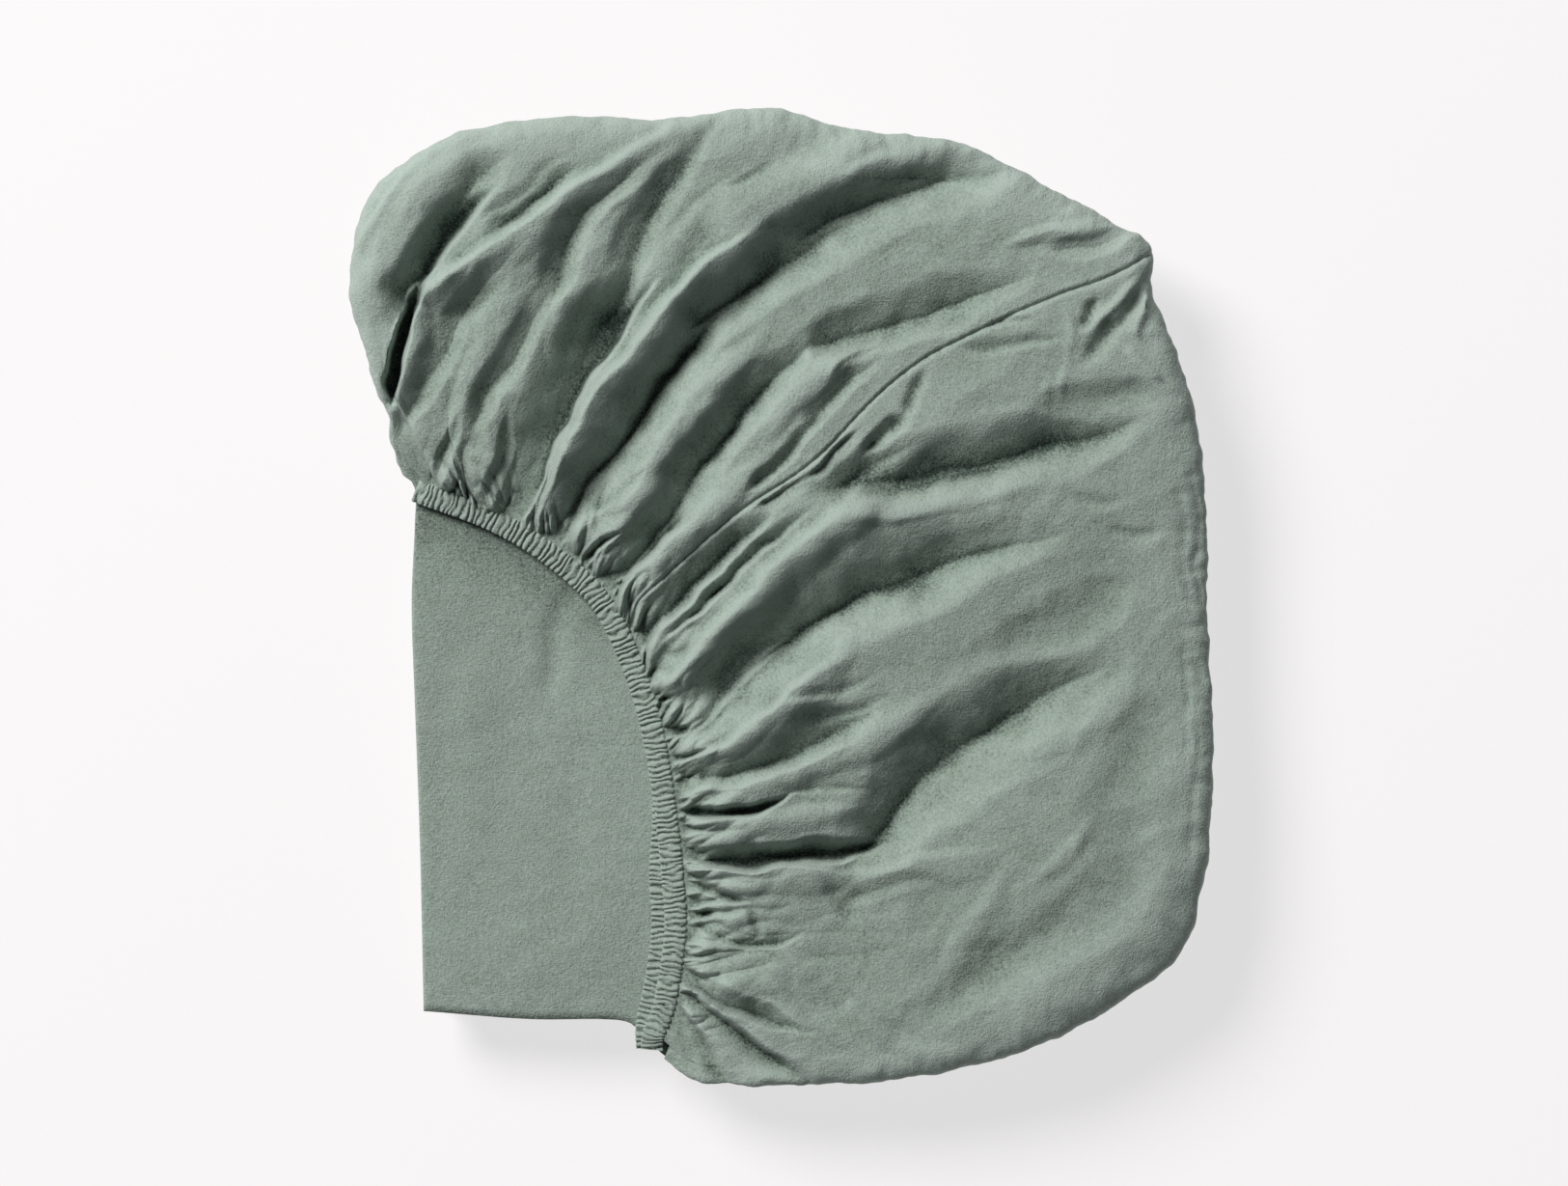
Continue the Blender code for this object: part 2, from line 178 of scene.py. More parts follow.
# Depths below the surroundings that count as a full hollow of painted shade, near and wide, and
# the rounds of blurring that give those surroundings
NEAR_HOLLOW = 0.0034
WIDE_HOLLOW = 0.0066
NEAR_ROUNDS = 24
WIDE_ROUNDS = 260

# Largest painted shade value on the pocket and at its edges, and rows from the hem to the full value
DEEPEST_PAINTED_SHADE = 2.2
EDGE_PAINTED_SHADE = 0.4
HEM_SHADE_ROWS = 14

# Painted shadow of the pocket and hem on the flat layers beside the hem: how strong, how far from
# it, and over which stretch of y it begins
SHADE_STRENGTH = 1.3
SHADE_LENGTH = 0.022
SHADE_START = -0.04
SHADE_GROWTH = 0.06
SHADE_POINTS = 40
LAYER_PALENESS = 0.15

# Painted shade between two pleats of a hem, and how much paler a pleat's crest is painted as a
# highlight
PAINTED_PLEAT_SHADE = 2.0
PAINTED_PLEAT_CONTRAST = 2.8

# How much higher or deeper than in their tables the pocket's folds are, the height in millimetres
# from which folds that meet merge instead of adding up, and how sharply they merge
FOLD_DEPTH = 1.42
MERGED_FOLD_HEIGHT = 4
MERGE_POWER = 4

# How a fold narrows and fades towards its start and its end, how blunt a soft one is, and how much
# room round its points is searched, as a share of its size
TAPER_START = 3.0
TAPER_END = 3.0
TAPER_LEFT = 0.4
LEAST_REACH = 0.35
FADE_START = 2.6
FADE_END = 4.5
FADE_LEFT = 0.3
SOFT_POWER = 2.4
FOLD_MARGIN = 0.3

# Plan of the bundle's outline in millimetres, clockwise from the front left corner of the stack
OUTLINE = (
    # x, y, corner
    (-147.8, -172.4, "front_left"),
    (-149.4, -103, ""),
    (-151.4, -46, ""),
    (-152.8, -3, ""),
    (-151.5, 30, ""),
    (-151.5, 46, "pocket_start"),
    (-157.5, 53, ""),
    (-161.8, 64, ""),
    (-163, 76, ""),
    (-169.5, 90, ""),
    (-172.4, 103, ""),
    (-178, 121, ""),
    (-176.8, 146, ""),
    (-171, 165, "back_left"),
    (-158, 179, ""),
    (-139, 190.3, ""),
    (-117, 196.3, ""),
    (-84, 199.6, ""),
    (-47, 198.4, ""),
    (-5, 203, ""),
    (32, 194, ""),
    (73, 189, ""),
    (107.5, 172.6, ""),
    (140, 154, ""),
    (149.5, 149.5, ""),
    (153.6, 142, "tip"),
    (152.8, 132, ""),
    (155.5, 122, ""),
    (163.6, 102, ""),
    (171.8, 76, ""),
    (176, 32, ""),
    (176.8, -12, ""),
    (179.2, -58, ""),
    (177.2, -104, ""),
    (172.6, -126, ""),
    (168.8, -141, ""),
    (152, -160, "front_right"),
    (107, -185.2, ""),
    (58, -198.3, ""),
    (16, -201.2, ""),
    (-30, -201.2, ""),
    (-48.5, -191, "pocket_end"),
    (-57.5, -182, ""),
    (-68, -176, ""),
    (-105, -175.6, ""),
)

# Plan of the front hem's open edge in millimetres, from the back left to the front
HEM_LINE = (
    # x, y
    (-147, 38),
    (-123, 29),
    (-102, 17),
    (-81, -1),
    (-69, -22),
    (-59, -51),
    (-53, -85),
    (-49.5, -117),
    (-48.5, -138),
    (-52.5, -166),
    (-57.5, -180),
)

# Where the front hem goes on under the pocket's two ends, in millimetres
HEM_ENDS = ((-153.5, 40.5), (-58.2, -187.0))

# How the cloth fans out from the hem to the bundle's edge, rib by rib, in shares and millimetres
FAN = (
    # hem share, edge share, middle x, middle y, roll
    (0.00, 0.000, -148.2, 40.4, 4),
    (0.03, 0.018, -145, 49, 5),
    (0.06, 0.075, -146, 68, 8),
    (0.11, 0.240, -131, 118, 17),
    (0.17, 0.330, -88, 130, 20),
    (0.23, 0.405, -33, 122, 15),
    (0.30, 0.440, -2, 100, 13),
    (0.38, 0.470, 25, 70, 12),
    (0.50, 0.545, 45, 32, 16),
    (0.60, 0.600, 52, -12, 20),
    (0.70, 0.645, 56, -66, 17),
    (0.78, 0.715, 60, -112, 19),
    (0.87, 0.790, 45, -143, 22),
    (0.95, 0.900, -15, -173, 15),
    (1.00, 1.000, -52, -181.5, 6),
)

# Plan of the corner seam in picture pixels, from the hem to the corner's tip
SEAM_LINE = (
    # x, y
    (620, 656),
    (640, 640),
    (660, 624),
    (700, 588),
    (740, 552),
    (780, 521),
    (820, 496),
    (846, 476),
    (862, 461),
    (880, 441),
    (900, 420),
    (920, 401),
    (940, 385),
    (963, 369),
    (1001, 350),
    (1040, 331),
    (1081, 310),
    (1101, 298),
    (1121, 290),
    (1160, 284),
)

# Folds. Each runs through three points of the plan and spreads to the left and right of its line,
# looking from its first point to its last. Plan values are in picture pixels, heights in
# millimetres, and crisp goes from 0, a soft wave, to 1, a sharp edge.
LOBE_FOLDS = (
    # x0, y0, x1, y1, x2, y2, left, right, height, crisp
    (470, 140, 403, 207, 366, 262, 34, 5, 1.6, 0.5),
    (530, 160, 487, 200, 452, 250, 26, 30, -4, 0.5),
    (528, 180, 462, 254, 412, 330, 9, 34, -9.5, 0.6),
    (456, 252, 416, 344, 411, 416, 11, 9, -14, 0.1),
    (505, 160, 432, 220, 390, 310, 34, 26, 2, 0.0),
    (756, 102, 566, 222, 440, 310, 48, 14, 5, 0.1),
    (612, 172, 560, 206, 512, 242, 5, 18, -2.8, 0.7),
    (600, 158, 548, 194, 506, 226, 8, 12, -1.1, 0.6),
    (500, 262, 448, 284, 420, 312, 30, 6, 3.5, 0.1),
    (418, 306, 428, 350, 408, 432, 26, 5, 3.5, 0.1),
)
UPPER_FOLDS = (
    # x0, y0, x1, y1, x2, y2, left, right, height, crisp
    (722, 134, 618, 218, 572, 315, 18, 30, -3.6, 0.6),
    (545, 250, 480, 335, 414, 450, 16, 24, -3.0, 0.5),
    (572, 296, 535, 370, 488, 444, 18, 26, -3.2, 0.5),
    (575, 255, 510, 345, 464, 482, 20, 18, 1.6, 0.0),
    (690, 180, 612, 270, 578, 380, 20, 20, 1.4, 0.0),
    (746, 122, 672, 240, 620, 384, 18, 30, -3.9, 0.6),
    (800, 160, 712, 242, 655, 318, 24, 16, 1.4, 0.0),
    (802, 163, 785, 180, 758, 194, 8, 9, -1.0, 0.5),
    (942, 148, 910, 160, 876, 176, 8, 10, -0.9, 0.4),
    (1000, 162, 850, 190, 740, 262, 34, 46, 4, 0.0),
    (848, 198, 678, 338, 562, 540, 52, 15, 8, 0.05),
    (690, 280, 614, 388, 542, 534, 7, 70, -14, 0.6),
    (1080, 176, 930, 202, 820, 260, 44, 42, -8.5, 0.8),
    (950, 198, 800, 282, 704, 354, 34, 52, -10, 0.75),
    (800, 268, 680, 408, 570, 566, 26, 56, -10, 0.8),
    (676, 478, 645, 505, 606, 532, 8, 9, -1.6, 0.6),
)
SEAM_FOLDS = (
    # x0, y0, x1, y1, x2, y2, left, right, height, crisp
    (800, 335, 712, 435, 624, 560, 28, 22, 3.5, 0.0),
    (860, 330, 752, 460, 640, 606, 20, 40, -8.5, 0.75),
    (722, 506, 684, 558, 640, 600, 9, 20, -8, 0.5),
    (800, 470, 728, 535, 642, 614, 18, 18, 2.2, 0.0),
    (905, 345, 842, 398, 790, 455, 16, 20, 1.5, 0.0),
    (1085, 280, 945, 332, 836, 356, 30, 40, -6.2, 0.75),
    (920, 368, 866, 408, 840, 450, 12, 16, -3, 0.5),
    (848, 434, 815, 472, 776, 508, 8, 14, -3, 0.5),
    (925, 358, 880, 368, 858, 392, 6, 8, 1.0, 0.4),
    (890, 444, 870, 468, 838, 494, 13, 4, -2.5, 0.5),
    (844, 486, 812, 510, 784, 526, 16, 4, -2.0, 0.5),
    (962, 383, 950, 405, 938, 428, 9, 12, -2.2, 0.5),
    (944, 428, 922, 448, 898, 472, 11, 14, -3.5, 0.4),
    (812, 524, 728, 600, 656, 678, 13, 34, -7.5, 0.6),
    (775, 575, 722, 628, 674, 678, 14, 12, 1.4, 0.0),
    (852, 518, 770, 590, 688, 668, 5, 16, -4, 0.6),
    (764, 604, 738, 618, 712, 644, 6, 10, -1.6, 0.5),
    (966, 452, 832, 568, 688, 714, 34, 16, 4.4, 0.05),
)
MIDDLE_FOLDS = (
    # x0, y0, x1, y1, x2, y2, left, right, height, crisp
    (1215, 424, 1030, 480, 852, 508, 40, 50, -9.5, 0.7),
    (1130, 478, 1000, 506, 870, 534, 22, 14, 2.2, 0.0),
    (1130, 545, 880, 628, 730, 748, 46, 70, -13, 0.8),
    (816, 660, 782, 696, 738, 742, 9, 9, 2.2, 0.0),
    (820, 686, 772, 726, 716, 762, 6, 10, -4, 0.5),
    (892, 648, 798, 740, 716, 786, 40, 13, 4.2, 0.05),
    (920, 730, 828, 776, 712, 816, 18, 40, -5.5, 0.6),
    (925, 692, 860, 714, 800, 724, 9, 12, -0.9, 0.4),
    (935, 722, 880, 736, 840, 752, 9, 12, -0.9, 0.3),
    (985, 716, 880, 778, 730, 830, 20, 26, 1.8, 0.0),
    (822, 822, 770, 842, 706, 843, 6, 9, -8, 0.3),
    (905, 815, 858, 818, 815, 824, 5, 7, -0.7, 0.6),
    (905, 828, 800, 850, 712, 855, 24, 12, 1.2, 0.0),
    (1185, 676, 998, 776, 888, 894, 60, 58, -10, 0.75),
    (948, 846, 860, 887, 700, 888, 9, 22, -11, 0.5),
)
LOWER_FOLDS = (
    # x0, y0, x1, y1, x2, y2, left, right, height, crisp
    (905, 905, 820, 901, 716, 901, 28, 4, 2.6, 0.3),
    (1040, 872, 965, 897, 880, 904, 32, 14, 1.4, 0.0),
    (990, 920, 925, 915, 876, 940, 14, 14, -1.3, 0.4),
    (846, 908, 868, 928, 890, 962, 12, 14, -1.0, 0.3),
    (1050, 880, 1012, 950, 972, 1000, 22, 16, 0.9, 0.1),
    (780, 930, 752, 927, 722, 917, 7, 9, -4, 0.4),
    (774, 936, 785, 952, 787, 970, 6, 8, -1.5, 0.4),
    (842, 958, 784, 980, 718, 956, 5, 15, -3.2, 0.7),
    (746, 945, 726, 949, 704, 951, 6, 8, -3.5, 0.5),
    (850, 1066, 766, 1046, 696, 1004, 8, 18, -6, 0.6),
    (868, 1140, 776, 1078, 700, 1024, 24, 9, -7, 0.6),
    (772, 1150, 730, 1090, 692, 1036, 16, 10, -4.8, 0.5),
    (724, 1122, 708, 1082, 690, 1050, 9, 8, -5, 0.5),
    (980, 1098, 900, 1062, 800, 1000, 26, 26, -1.2, 0.2),
    (1010, 1092, 930, 1078, 868, 1030, 16, 14, 1.0, 0.3),
    (1150, 900, 1050, 990, 960, 1050, 30, 30, -1.2, 0.2),
)
CREVICES = (
    # x0, y0, x1, y1, x2, y2, left, right, height, crisp
    (480, 420, 459, 476, 441, 524, 11, 9, -2.4, 0.3),
    (480, 490, 473, 510, 466, 532, 5, 5, -4, 0.5),
    (532, 420, 514, 486, 497, 536, 12, 10, -2.6, 0.3),
    (532, 500, 530, 516, 524, 545, 5, 5, -4, 0.5),
    (564, 488, 552, 515, 530, 552, 5, 6, -5, 0.5),
    (568, 520, 572, 545, 566, 572, 5, 5, -5, 0.5),
    (592, 525, 582, 550, 570, 582, 5, 6, -5, 0.5),
    (646, 548, 620, 568, 588, 602, 6, 7, -4.5, 0.5),
    (650, 580, 632, 596, 600, 614, 6, 6, -5, 0.5),
    (660, 592, 640, 606, 616, 622, 5, 6, -5, 0.5),
    (672, 655, 660, 672, 634, 690, 6, 6, -6, 0.5),
    (668, 640, 655, 662, 632, 672, 4, 4, -3, 0.5),
    (700, 715, 684, 724, 650, 736, 5, 5, -4, 0.5),
    (720, 742, 700, 756, 664, 764, 7, 7, -6, 0.4),
    (740, 765, 712, 784, 668, 790, 5, 5, -3.5, 0.5),
    (724, 800, 708, 812, 672, 816, 5, 5, -4, 0.5),
    (716, 826, 704, 832, 672, 834, 5, 5, -4, 0.5),
    (742, 856, 714, 858, 674, 858, 4, 4, -3.5, 0.5),
    (746, 890, 716, 896, 676, 892, 5, 5, -4, 0.5),
    (736, 908, 712, 908, 676, 908, 5, 5, -3.5, 0.5),
    (730, 936, 706, 938, 676, 936, 5, 5, -3.5, 0.5),
    (728, 984, 706, 978, 676, 976, 5, 5, -3, 0.5),
    (736, 1020, 706, 1004, 676, 1000, 5, 6, -3.5, 0.5),
)
RIGHT_FOLDS = (
    # x0, y0, x1, y1, x2, y2, left, right, height, crisp
    (1164, 236, 1110, 238, 1046, 252, 14, 12, 1.4, 0.3),
    (1170, 244, 1136, 256, 1090, 262, 14, 18, -1.8, 0.4),
    (1188, 280, 1156, 312, 1126, 352, 6, 10, 1.6, 0.6),
    (1183, 294, 1170, 320, 1160, 346, 9, 12, -2.4, 0.5),
    (1190, 292, 1183, 322, 1178, 352, 8, 4, 2.2, 0.7),
    (1160, 330, 1144, 352, 1124, 376, 13, 16, -2.6, 0.5),
    (1131, 308, 1125, 328, 1118, 348, 8, 9, -2.6, 0.4),
    (1106, 310, 1104, 360, 1099, 425, 5, 5, 1.1, 0.8),
    (1087, 380, 1086, 410, 1084, 440, 4, 4, 0.8, 0.8),
    (1163, 345, 1180, 376, 1204, 398, 6, 7, 1.6, 0.6),
    (1102, 350, 1050, 362, 996, 361, 6, 11, -1.5, 0.5),
    (1072, 338, 1050, 336, 1024, 346, 5, 6, -1.3, 0.6),
    (1215, 425, 1150, 412, 1075, 425, 22, 22, -2.4, 0.2),
    (1168, 516, 1136, 521, 1104, 510, 8, 11, -0.8, 0.4),
    (1212, 552, 1180, 556, 1148, 548, 8, 10, -0.7, 0.4),
    (1212, 480, 1226, 555, 1233, 640, 5, 6, -0.7, 0.6),
    (1228, 470, 1240, 550, 1243, 660, 5, 6, -0.7, 0.6),
    (1240, 700, 1238, 800, 1228, 900, 6, 7, -0.6, 0.5),
    (1220, 640, 1228, 720, 1226, 800, 4, 5, -0.9, 0.7),
    (1180, 590, 1110, 640, 1020, 668, 34, 34, -1.6, 0.0),
    (1246, 700, 1176, 790, 1150, 910, 50, 50, -1.6, 0.0),
    (1200, 870, 1120, 950, 1000, 1016, 40, 46, -1.8, 0.0),
    (1150, 824, 1104, 880, 1070, 906, 12, 10, 0.7, 0.2),
    (1180, 690, 1130, 742, 1040, 772, 30, 26, 1.2, 0.0),
    (1262, 380, 1310, 810, 1110, 1140, 30, 170, -3.9, 1.0),
)
POCKET_FOLDS = LOBE_FOLDS + UPPER_FOLDS + SEAM_FOLDS + MIDDLE_FOLDS + LOWER_FOLDS
POCKET_FOLDS = POCKET_FOLDS + RIGHT_FOLDS + CREVICES

# Shallow folds of the top layer, which lies flat beside the hem
LAYER_FOLDS = (
    # x0, y0, x1, y1, x2, y2, left, right, height, crisp
    (596, 580, 579, 650, 566, 722, 20, 16, -2.0, 0.3),
    (500, 958, 540, 950, 580, 940, 7, 6, -0.5, 0.5),
    (470, 640, 490, 760, 480, 900, 34, 30, 0.6, 0.1),
    (610, 800, 590, 880, 600, 980, 26, 30, -0.5, 0.1),
)

# How far the folds' edges wander, over which length, in millimetres, and its seed
FOLD_WANDER = (
    # cell, amount, seed
    (24, 2.6, 91),
    (9, 0.9, 95),
)

# Crumple of washed linen: size of its features, their height, how much longer than wide they are,
# their direction in degrees and their seed
CRUMPLE = (
    # cell mm, height mm, stretch, angle, seed
    (34, 1.5, 1.6, 50, 11),
    (17, 0.75, 2.0, 35, 12),
    (8.5, 0.34, 2.2, 60, 13),
    (4.2, 0.14, 1.6, 20, 14),
)

# How the crumple's ridges wander: amount, features along and across, where it starts in its noise
# and its added seed, and the level from which its heights are measured
CRUMPLE_WANDER = 0.35
WANDER_ALONG = 1.7
WANDER_ACROSS = 0.6
WANDER_START = (9.1, 4.7)
WANDER_SEED = 40
CRUMPLE_LEVEL = 0.35

# Gathers that run from the hem into the pocket: how many hem gathers wide they are, how far they
# reach, how soon they rise and how high
GATHER_WAVES = (
    # width, reach mm, rise mm, height mm, seed
    (1.0, 6, 0.3, 4.5, 21),
    (2.3, 12, 0.8, 13.0, 22),
    (4.6, 26, 3, 10.0, 23),
    (9.5, 60, 12, 5.0, 24),
)
GATHER_DRIFT = 0.8
GATHER_BLUNTNESS = 0.8
GATHER_LEVEL = 0.3

# How the pleats of a hem wander along it, and how their size varies
PLEAT_WANDER = (
    # amount, gathers long, features across, added seed
    (0.75, 3.1, 1.1, 0),
    (0.35, 1.2, 2.5, 1),
)
# gathers long, features across, added seed
PLEAT_SIZE_CELL = (2.2, 1.3, 2)

# Ripples on the pocket's rolled edge
RIM_RIPPLES = (
    # height mm, length mm, features across, seed
    (0.9, 11, 2.0, 31),
    (0.5, 4, 4.0, 32),
)
RIM_RIPPLE_FADE = 3

# Washed linen: scales of its grain, weights of slub, mottle and weave in its colour, and colours
# from a painted highlight on the ridges to painted shade in deep hollows
WARP_SCALE = (1350, 700, 700)
WEFT_SCALE = (700, 1350, 700)
SLUB_SCALE = (420, 200, 200)
MOTTLE_SCALE = (70, 110, 90)
SLUB_TURN = 2
MOTTLE_TURN = -20
SLUB_WEIGHT = 0.35
MEAN_MOTTLE = 0.5
MOTTLE_WEIGHT = 0.35
MEAN_WEAVE = 1.175
WEAVE_WEIGHT = -0.95
PAINTED_SHADE_RANGE = (-0.9, 1.6)
PAINTED_SHADE_WEIGHT = 0.9
PALE_GRAIN_AND_HIGHLIGHT_COLOUR = (0.354, 0.428, 0.388, 1.0)
MIDDLE_COLOUR = (0.250, 0.312, 0.268, 1.0)
PAINTED_SHADE_COLOUR = (0.030, 0.050, 0.038, 1.0)
MIDDLE_PLACE = 0.45

# Directions of the weave, in degrees, on the layers, the pocket and the hems
LAYER_TURN = 2
POCKET_TURN = 38
HEM_TURN = 20

# Studio
FLOOR_HALF = 6.0
FLOOR_COLOUR = (0.262, 0.258, 0.260, 1.0)
FLOOR_GLOW = 0.70
WORLD_STRENGTH = 0.085
LIGHT_TARGET = (0.0, 0.0, 0.03)
KEY_PLACE = (-2.8, 2.8, 3.45)
KEY_SIZE = 2.5
KEY_POWER = 345.0
KEY_COLOUR = (1.0, 0.985, 0.965)
CAMERA_DISTANCE = 3.0
SENSOR_WIDTH = 36.0
CLOTH_LEVEL = 0.035


def smooth_line(points, samples):
    """Curve through all points, with the given number of steps between two of them."""
    points = np.asarray(points, float)
    padded = np.vstack([2 * points[0] - points[1], points, 2 * points[-1] - points[-2]])
    t = np.linspace(0.0, 1.0, samples, endpoint=False)[:, None]
    spans = []
    for p0, p1, p2, p3 in zip(padded, padded[1:], padded[2:], padded[3:]):
        slope_in = (p2 - p0) / 2
        slope_out = (p3 - p1) / 2
        rise = p2 - p1
        cubic = slope_in + slope_out - 2 * rise
        square = 3 * rise - 2 * slope_in - slope_out
        spans.append(p1 + slope_in * t + square * t**2 + cubic * t**3)
    return np.vstack(spans + [points[-1:]])


def at_shares(line, shares):
    """Points of a line at the given shares of its length."""
    steps = np.linalg.norm(np.diff(line, axis=0), axis=1)
    length = np.concatenate([[0.0], np.cumsum(steps)])
    wanted = np.asarray(shares) * length[-1]
    return np.stack([np.interp(wanted, length, line[:, i]) for i in range(line.shape[1])], axis=1)


def smoothstep(value):
    """Soft step from 0 to 1."""
    value = np.clip(value, 0.0, 1.0)
    return value * value * (3 - 2 * value)


def corner_index(name):
    """Index of a named corner in the closed outline."""
    return [corner for _, _, corner in OUTLINE].index(name) * SPAN_SAMPLES


def closed_outline():
    """The bundle's outline as a closed smooth line."""
    points = np.array([(x, y) for x, y, _ in OUTLINE]) * MM
    return smooth_line(np.vstack([points, points[:1]]), SPAN_SAMPLES)


def plan_point(x, y):
    """Plan point in metres of a picture pixel."""
    return np.array([(x - PLAN_CENTRE[0]) * PIXEL, (PLAN_CENTRE[1] - y) * PIXEL])


def noise(x, y, seed):
    """Smooth noise between about -1 and 1, with features about one unit wide."""
    angle = np.random.default_rng(seed).uniform(0.0, 2 * math.pi, (LATTICE, LATTICE))
    column, row = np.floor(x).astype(int), np.floor(y).astype(int)
    across, along = x - column, y - row

    def corner(i, j):
        turn = angle[(column + i) % LATTICE, (row + j) % LATTICE]
        return np.cos(turn) * (across - i) + np.sin(turn) * (along - j)

    u, v = smoothstep(across), smoothstep(along)
    near = corner(0, 0) * (1 - u) + corner(1, 0) * u
    far = corner(0, 1) * (1 - u) + corner(1, 1) * u
    return 1.5 * (near * (1 - v) + far * v)


def curve_through(start, middle, end, t):
    """Quadratic curve that passes the middle point half way."""
    control = 2 * middle - (start + end) / 2
    return (1 - t) ** 2 * start + 2 * t * (1 - t) * control + t**2 * end


def fold_height(points, fold):
    """What one fold adds to the heights at the plan points."""
    x0, y0, x1, y1, x2, y2, left, right, height, crisp = fold
    ends = [plan_point(x0, y0), plan_point(x1, y1), plan_point(x2, y2)]
    line = curve_through(*ends, np.linspace(0.0, 1.0, FOLD_SAMPLES)[:, None])
    step = np.diff(line, axis=0)
    offset = points[:, None] - line[None, :-1]
    run = np.clip((offset * step).sum(axis=2) / (step**2).sum(axis=1), 0.0, 1.0)
    away = offset - run[..., None] * step
    distance = np.linalg.norm(away, axis=2)
    nearest = distance.argmin(axis=1)
    index = np.arange(len(points))
    side = step[nearest, 0] * away[index, nearest, 1] - step[nearest, 1] * away[index, nearest, 0]
    place = (nearest + run[index, nearest]) / (FOLD_SAMPLES - 1)
    taper = smoothstep(TAPER_START * place) * smoothstep(TAPER_END * (1 - place) + TAPER_LEFT)
    reach = np.where(side > 0, left, right) * PIXEL * (LEAST_REACH + (1 - LEAST_REACH) * taper)
    apart = np.clip(distance[index, nearest] / reach, 0.0, 1.0)
    soft = (1 - apart**SOFT_POWER) ** 2
    sharp = (1 - apart) ** 2
    fade = smoothstep(FADE_START * place) * smoothstep(FADE_END * (1 - place) + FADE_LEFT)
    return height * MM * fade * ((1 - crisp) * soft + crisp * sharp)


def fold_relief(x, y, folds):
    """Folds at the plan points, with a little wander in their edges. Large ones that meet merge."""
    points = np.column_stack([x.ravel(), y.ravel()])
    for cell, amount, seed in FOLD_WANDER:
        for axis in range(2):
            drift = noise(x.ravel() / (cell * MM), y.ravel() / (cell * MM), seed + axis)
            points[:, axis] += amount * MM * drift
    small = np.zeros(len(points))
    ridges = np.zeros(len(points))
    valleys = np.zeros(len(points))
    for fold in folds:
        x0, y0, x1, y1, x2, y2, left, right, table_height, _ = fold
        corners = np.array([plan_point(x0, y0), plan_point(x1, y1), plan_point(x2, y2)])
        margin = max(left, right) * PIXEL + np.ptp(corners, axis=0).max() * FOLD_MARGIN
        low, high = corners.min(axis=0) - margin, corners.max(axis=0) + margin
        near = np.flatnonzero(((points > low) & (points < high)).all(axis=1))
        if len(near) == 0:
            continue
        height = fold_height(points[near], fold)
        if abs(table_height) < MERGED_FOLD_HEIGHT:
            small[near] += height
        elif table_height > 0:
            ridges[near] += height**MERGE_POWER
        else:
            valleys[near] += (-height) ** MERGE_POWER
    relief = small + ridges ** (1 / MERGE_POWER) - valleys ** (1 / MERGE_POWER)
    return relief.reshape(x.shape)


def crumple(x, y):
    """Height of the fine crumple: soft hollows between slightly crisp ridges."""
    total = np.zeros_like(x)
    for cell, height, stretch, angle, seed in CRUMPLE:
        turn = math.radians(angle)
        along = (x * math.cos(turn) + y * math.sin(turn)) / (cell * MM * stretch)
        across = (y * math.cos(turn) - x * math.sin(turn)) / (cell * MM)
        first = along * WANDER_ALONG + WANDER_START[0]
        second = across * WANDER_ACROSS + WANDER_START[1]
        wander = CRUMPLE_WANDER * noise(first, second, seed + WANDER_SEED)
        total += height * MM * (CRUMPLE_LEVEL - np.abs(noise(along, across + wander, seed)))
    return total


def layer_heights(x, y, layer):
    """Height of the middle of a layer. The lowest layer is flat and the top one is uneven."""
    share = layer / (LAYER_COUNT - 1)
    wave = np.sin(x / UNEVEN_ACROSS) * np.cos(y / UNEVEN_ALONG)
    wave = wave + SLANTED_SHARE * np.sin((x - y) / UNEVEN_SLANTED)
    return LAYER_THICKNESS / 2 + LAYER_PITCH * layer + UNEVENNESS * share**2 * wave


def top_surface(x, y):
    """Height of the upper side of the top layer."""
    return layer_heights(x, y, LAYER_COUNT - 1) + LAYER_THICKNESS / 2


def edge_flare(pair, top_pair):
    """How far a crease reaches from the lower layers' outline to the top one's."""
    share = smoothstep((pair - top_pair + FLARE_PAIRS) / FLARE_PAIRS)
    return float(share) + (1 - float(share)) * EDGE_JITTER * math.sin(JITTER_TURN * pair)


def between(lower, top, stretch, shares, flare):
    """Points along one stretch of the outline, between the lower layers' line and the top one's."""
    low = at_shares(lower[stretch], shares)
    high = at_shares(top[stretch], shares)
    return low + flare * (high - low)


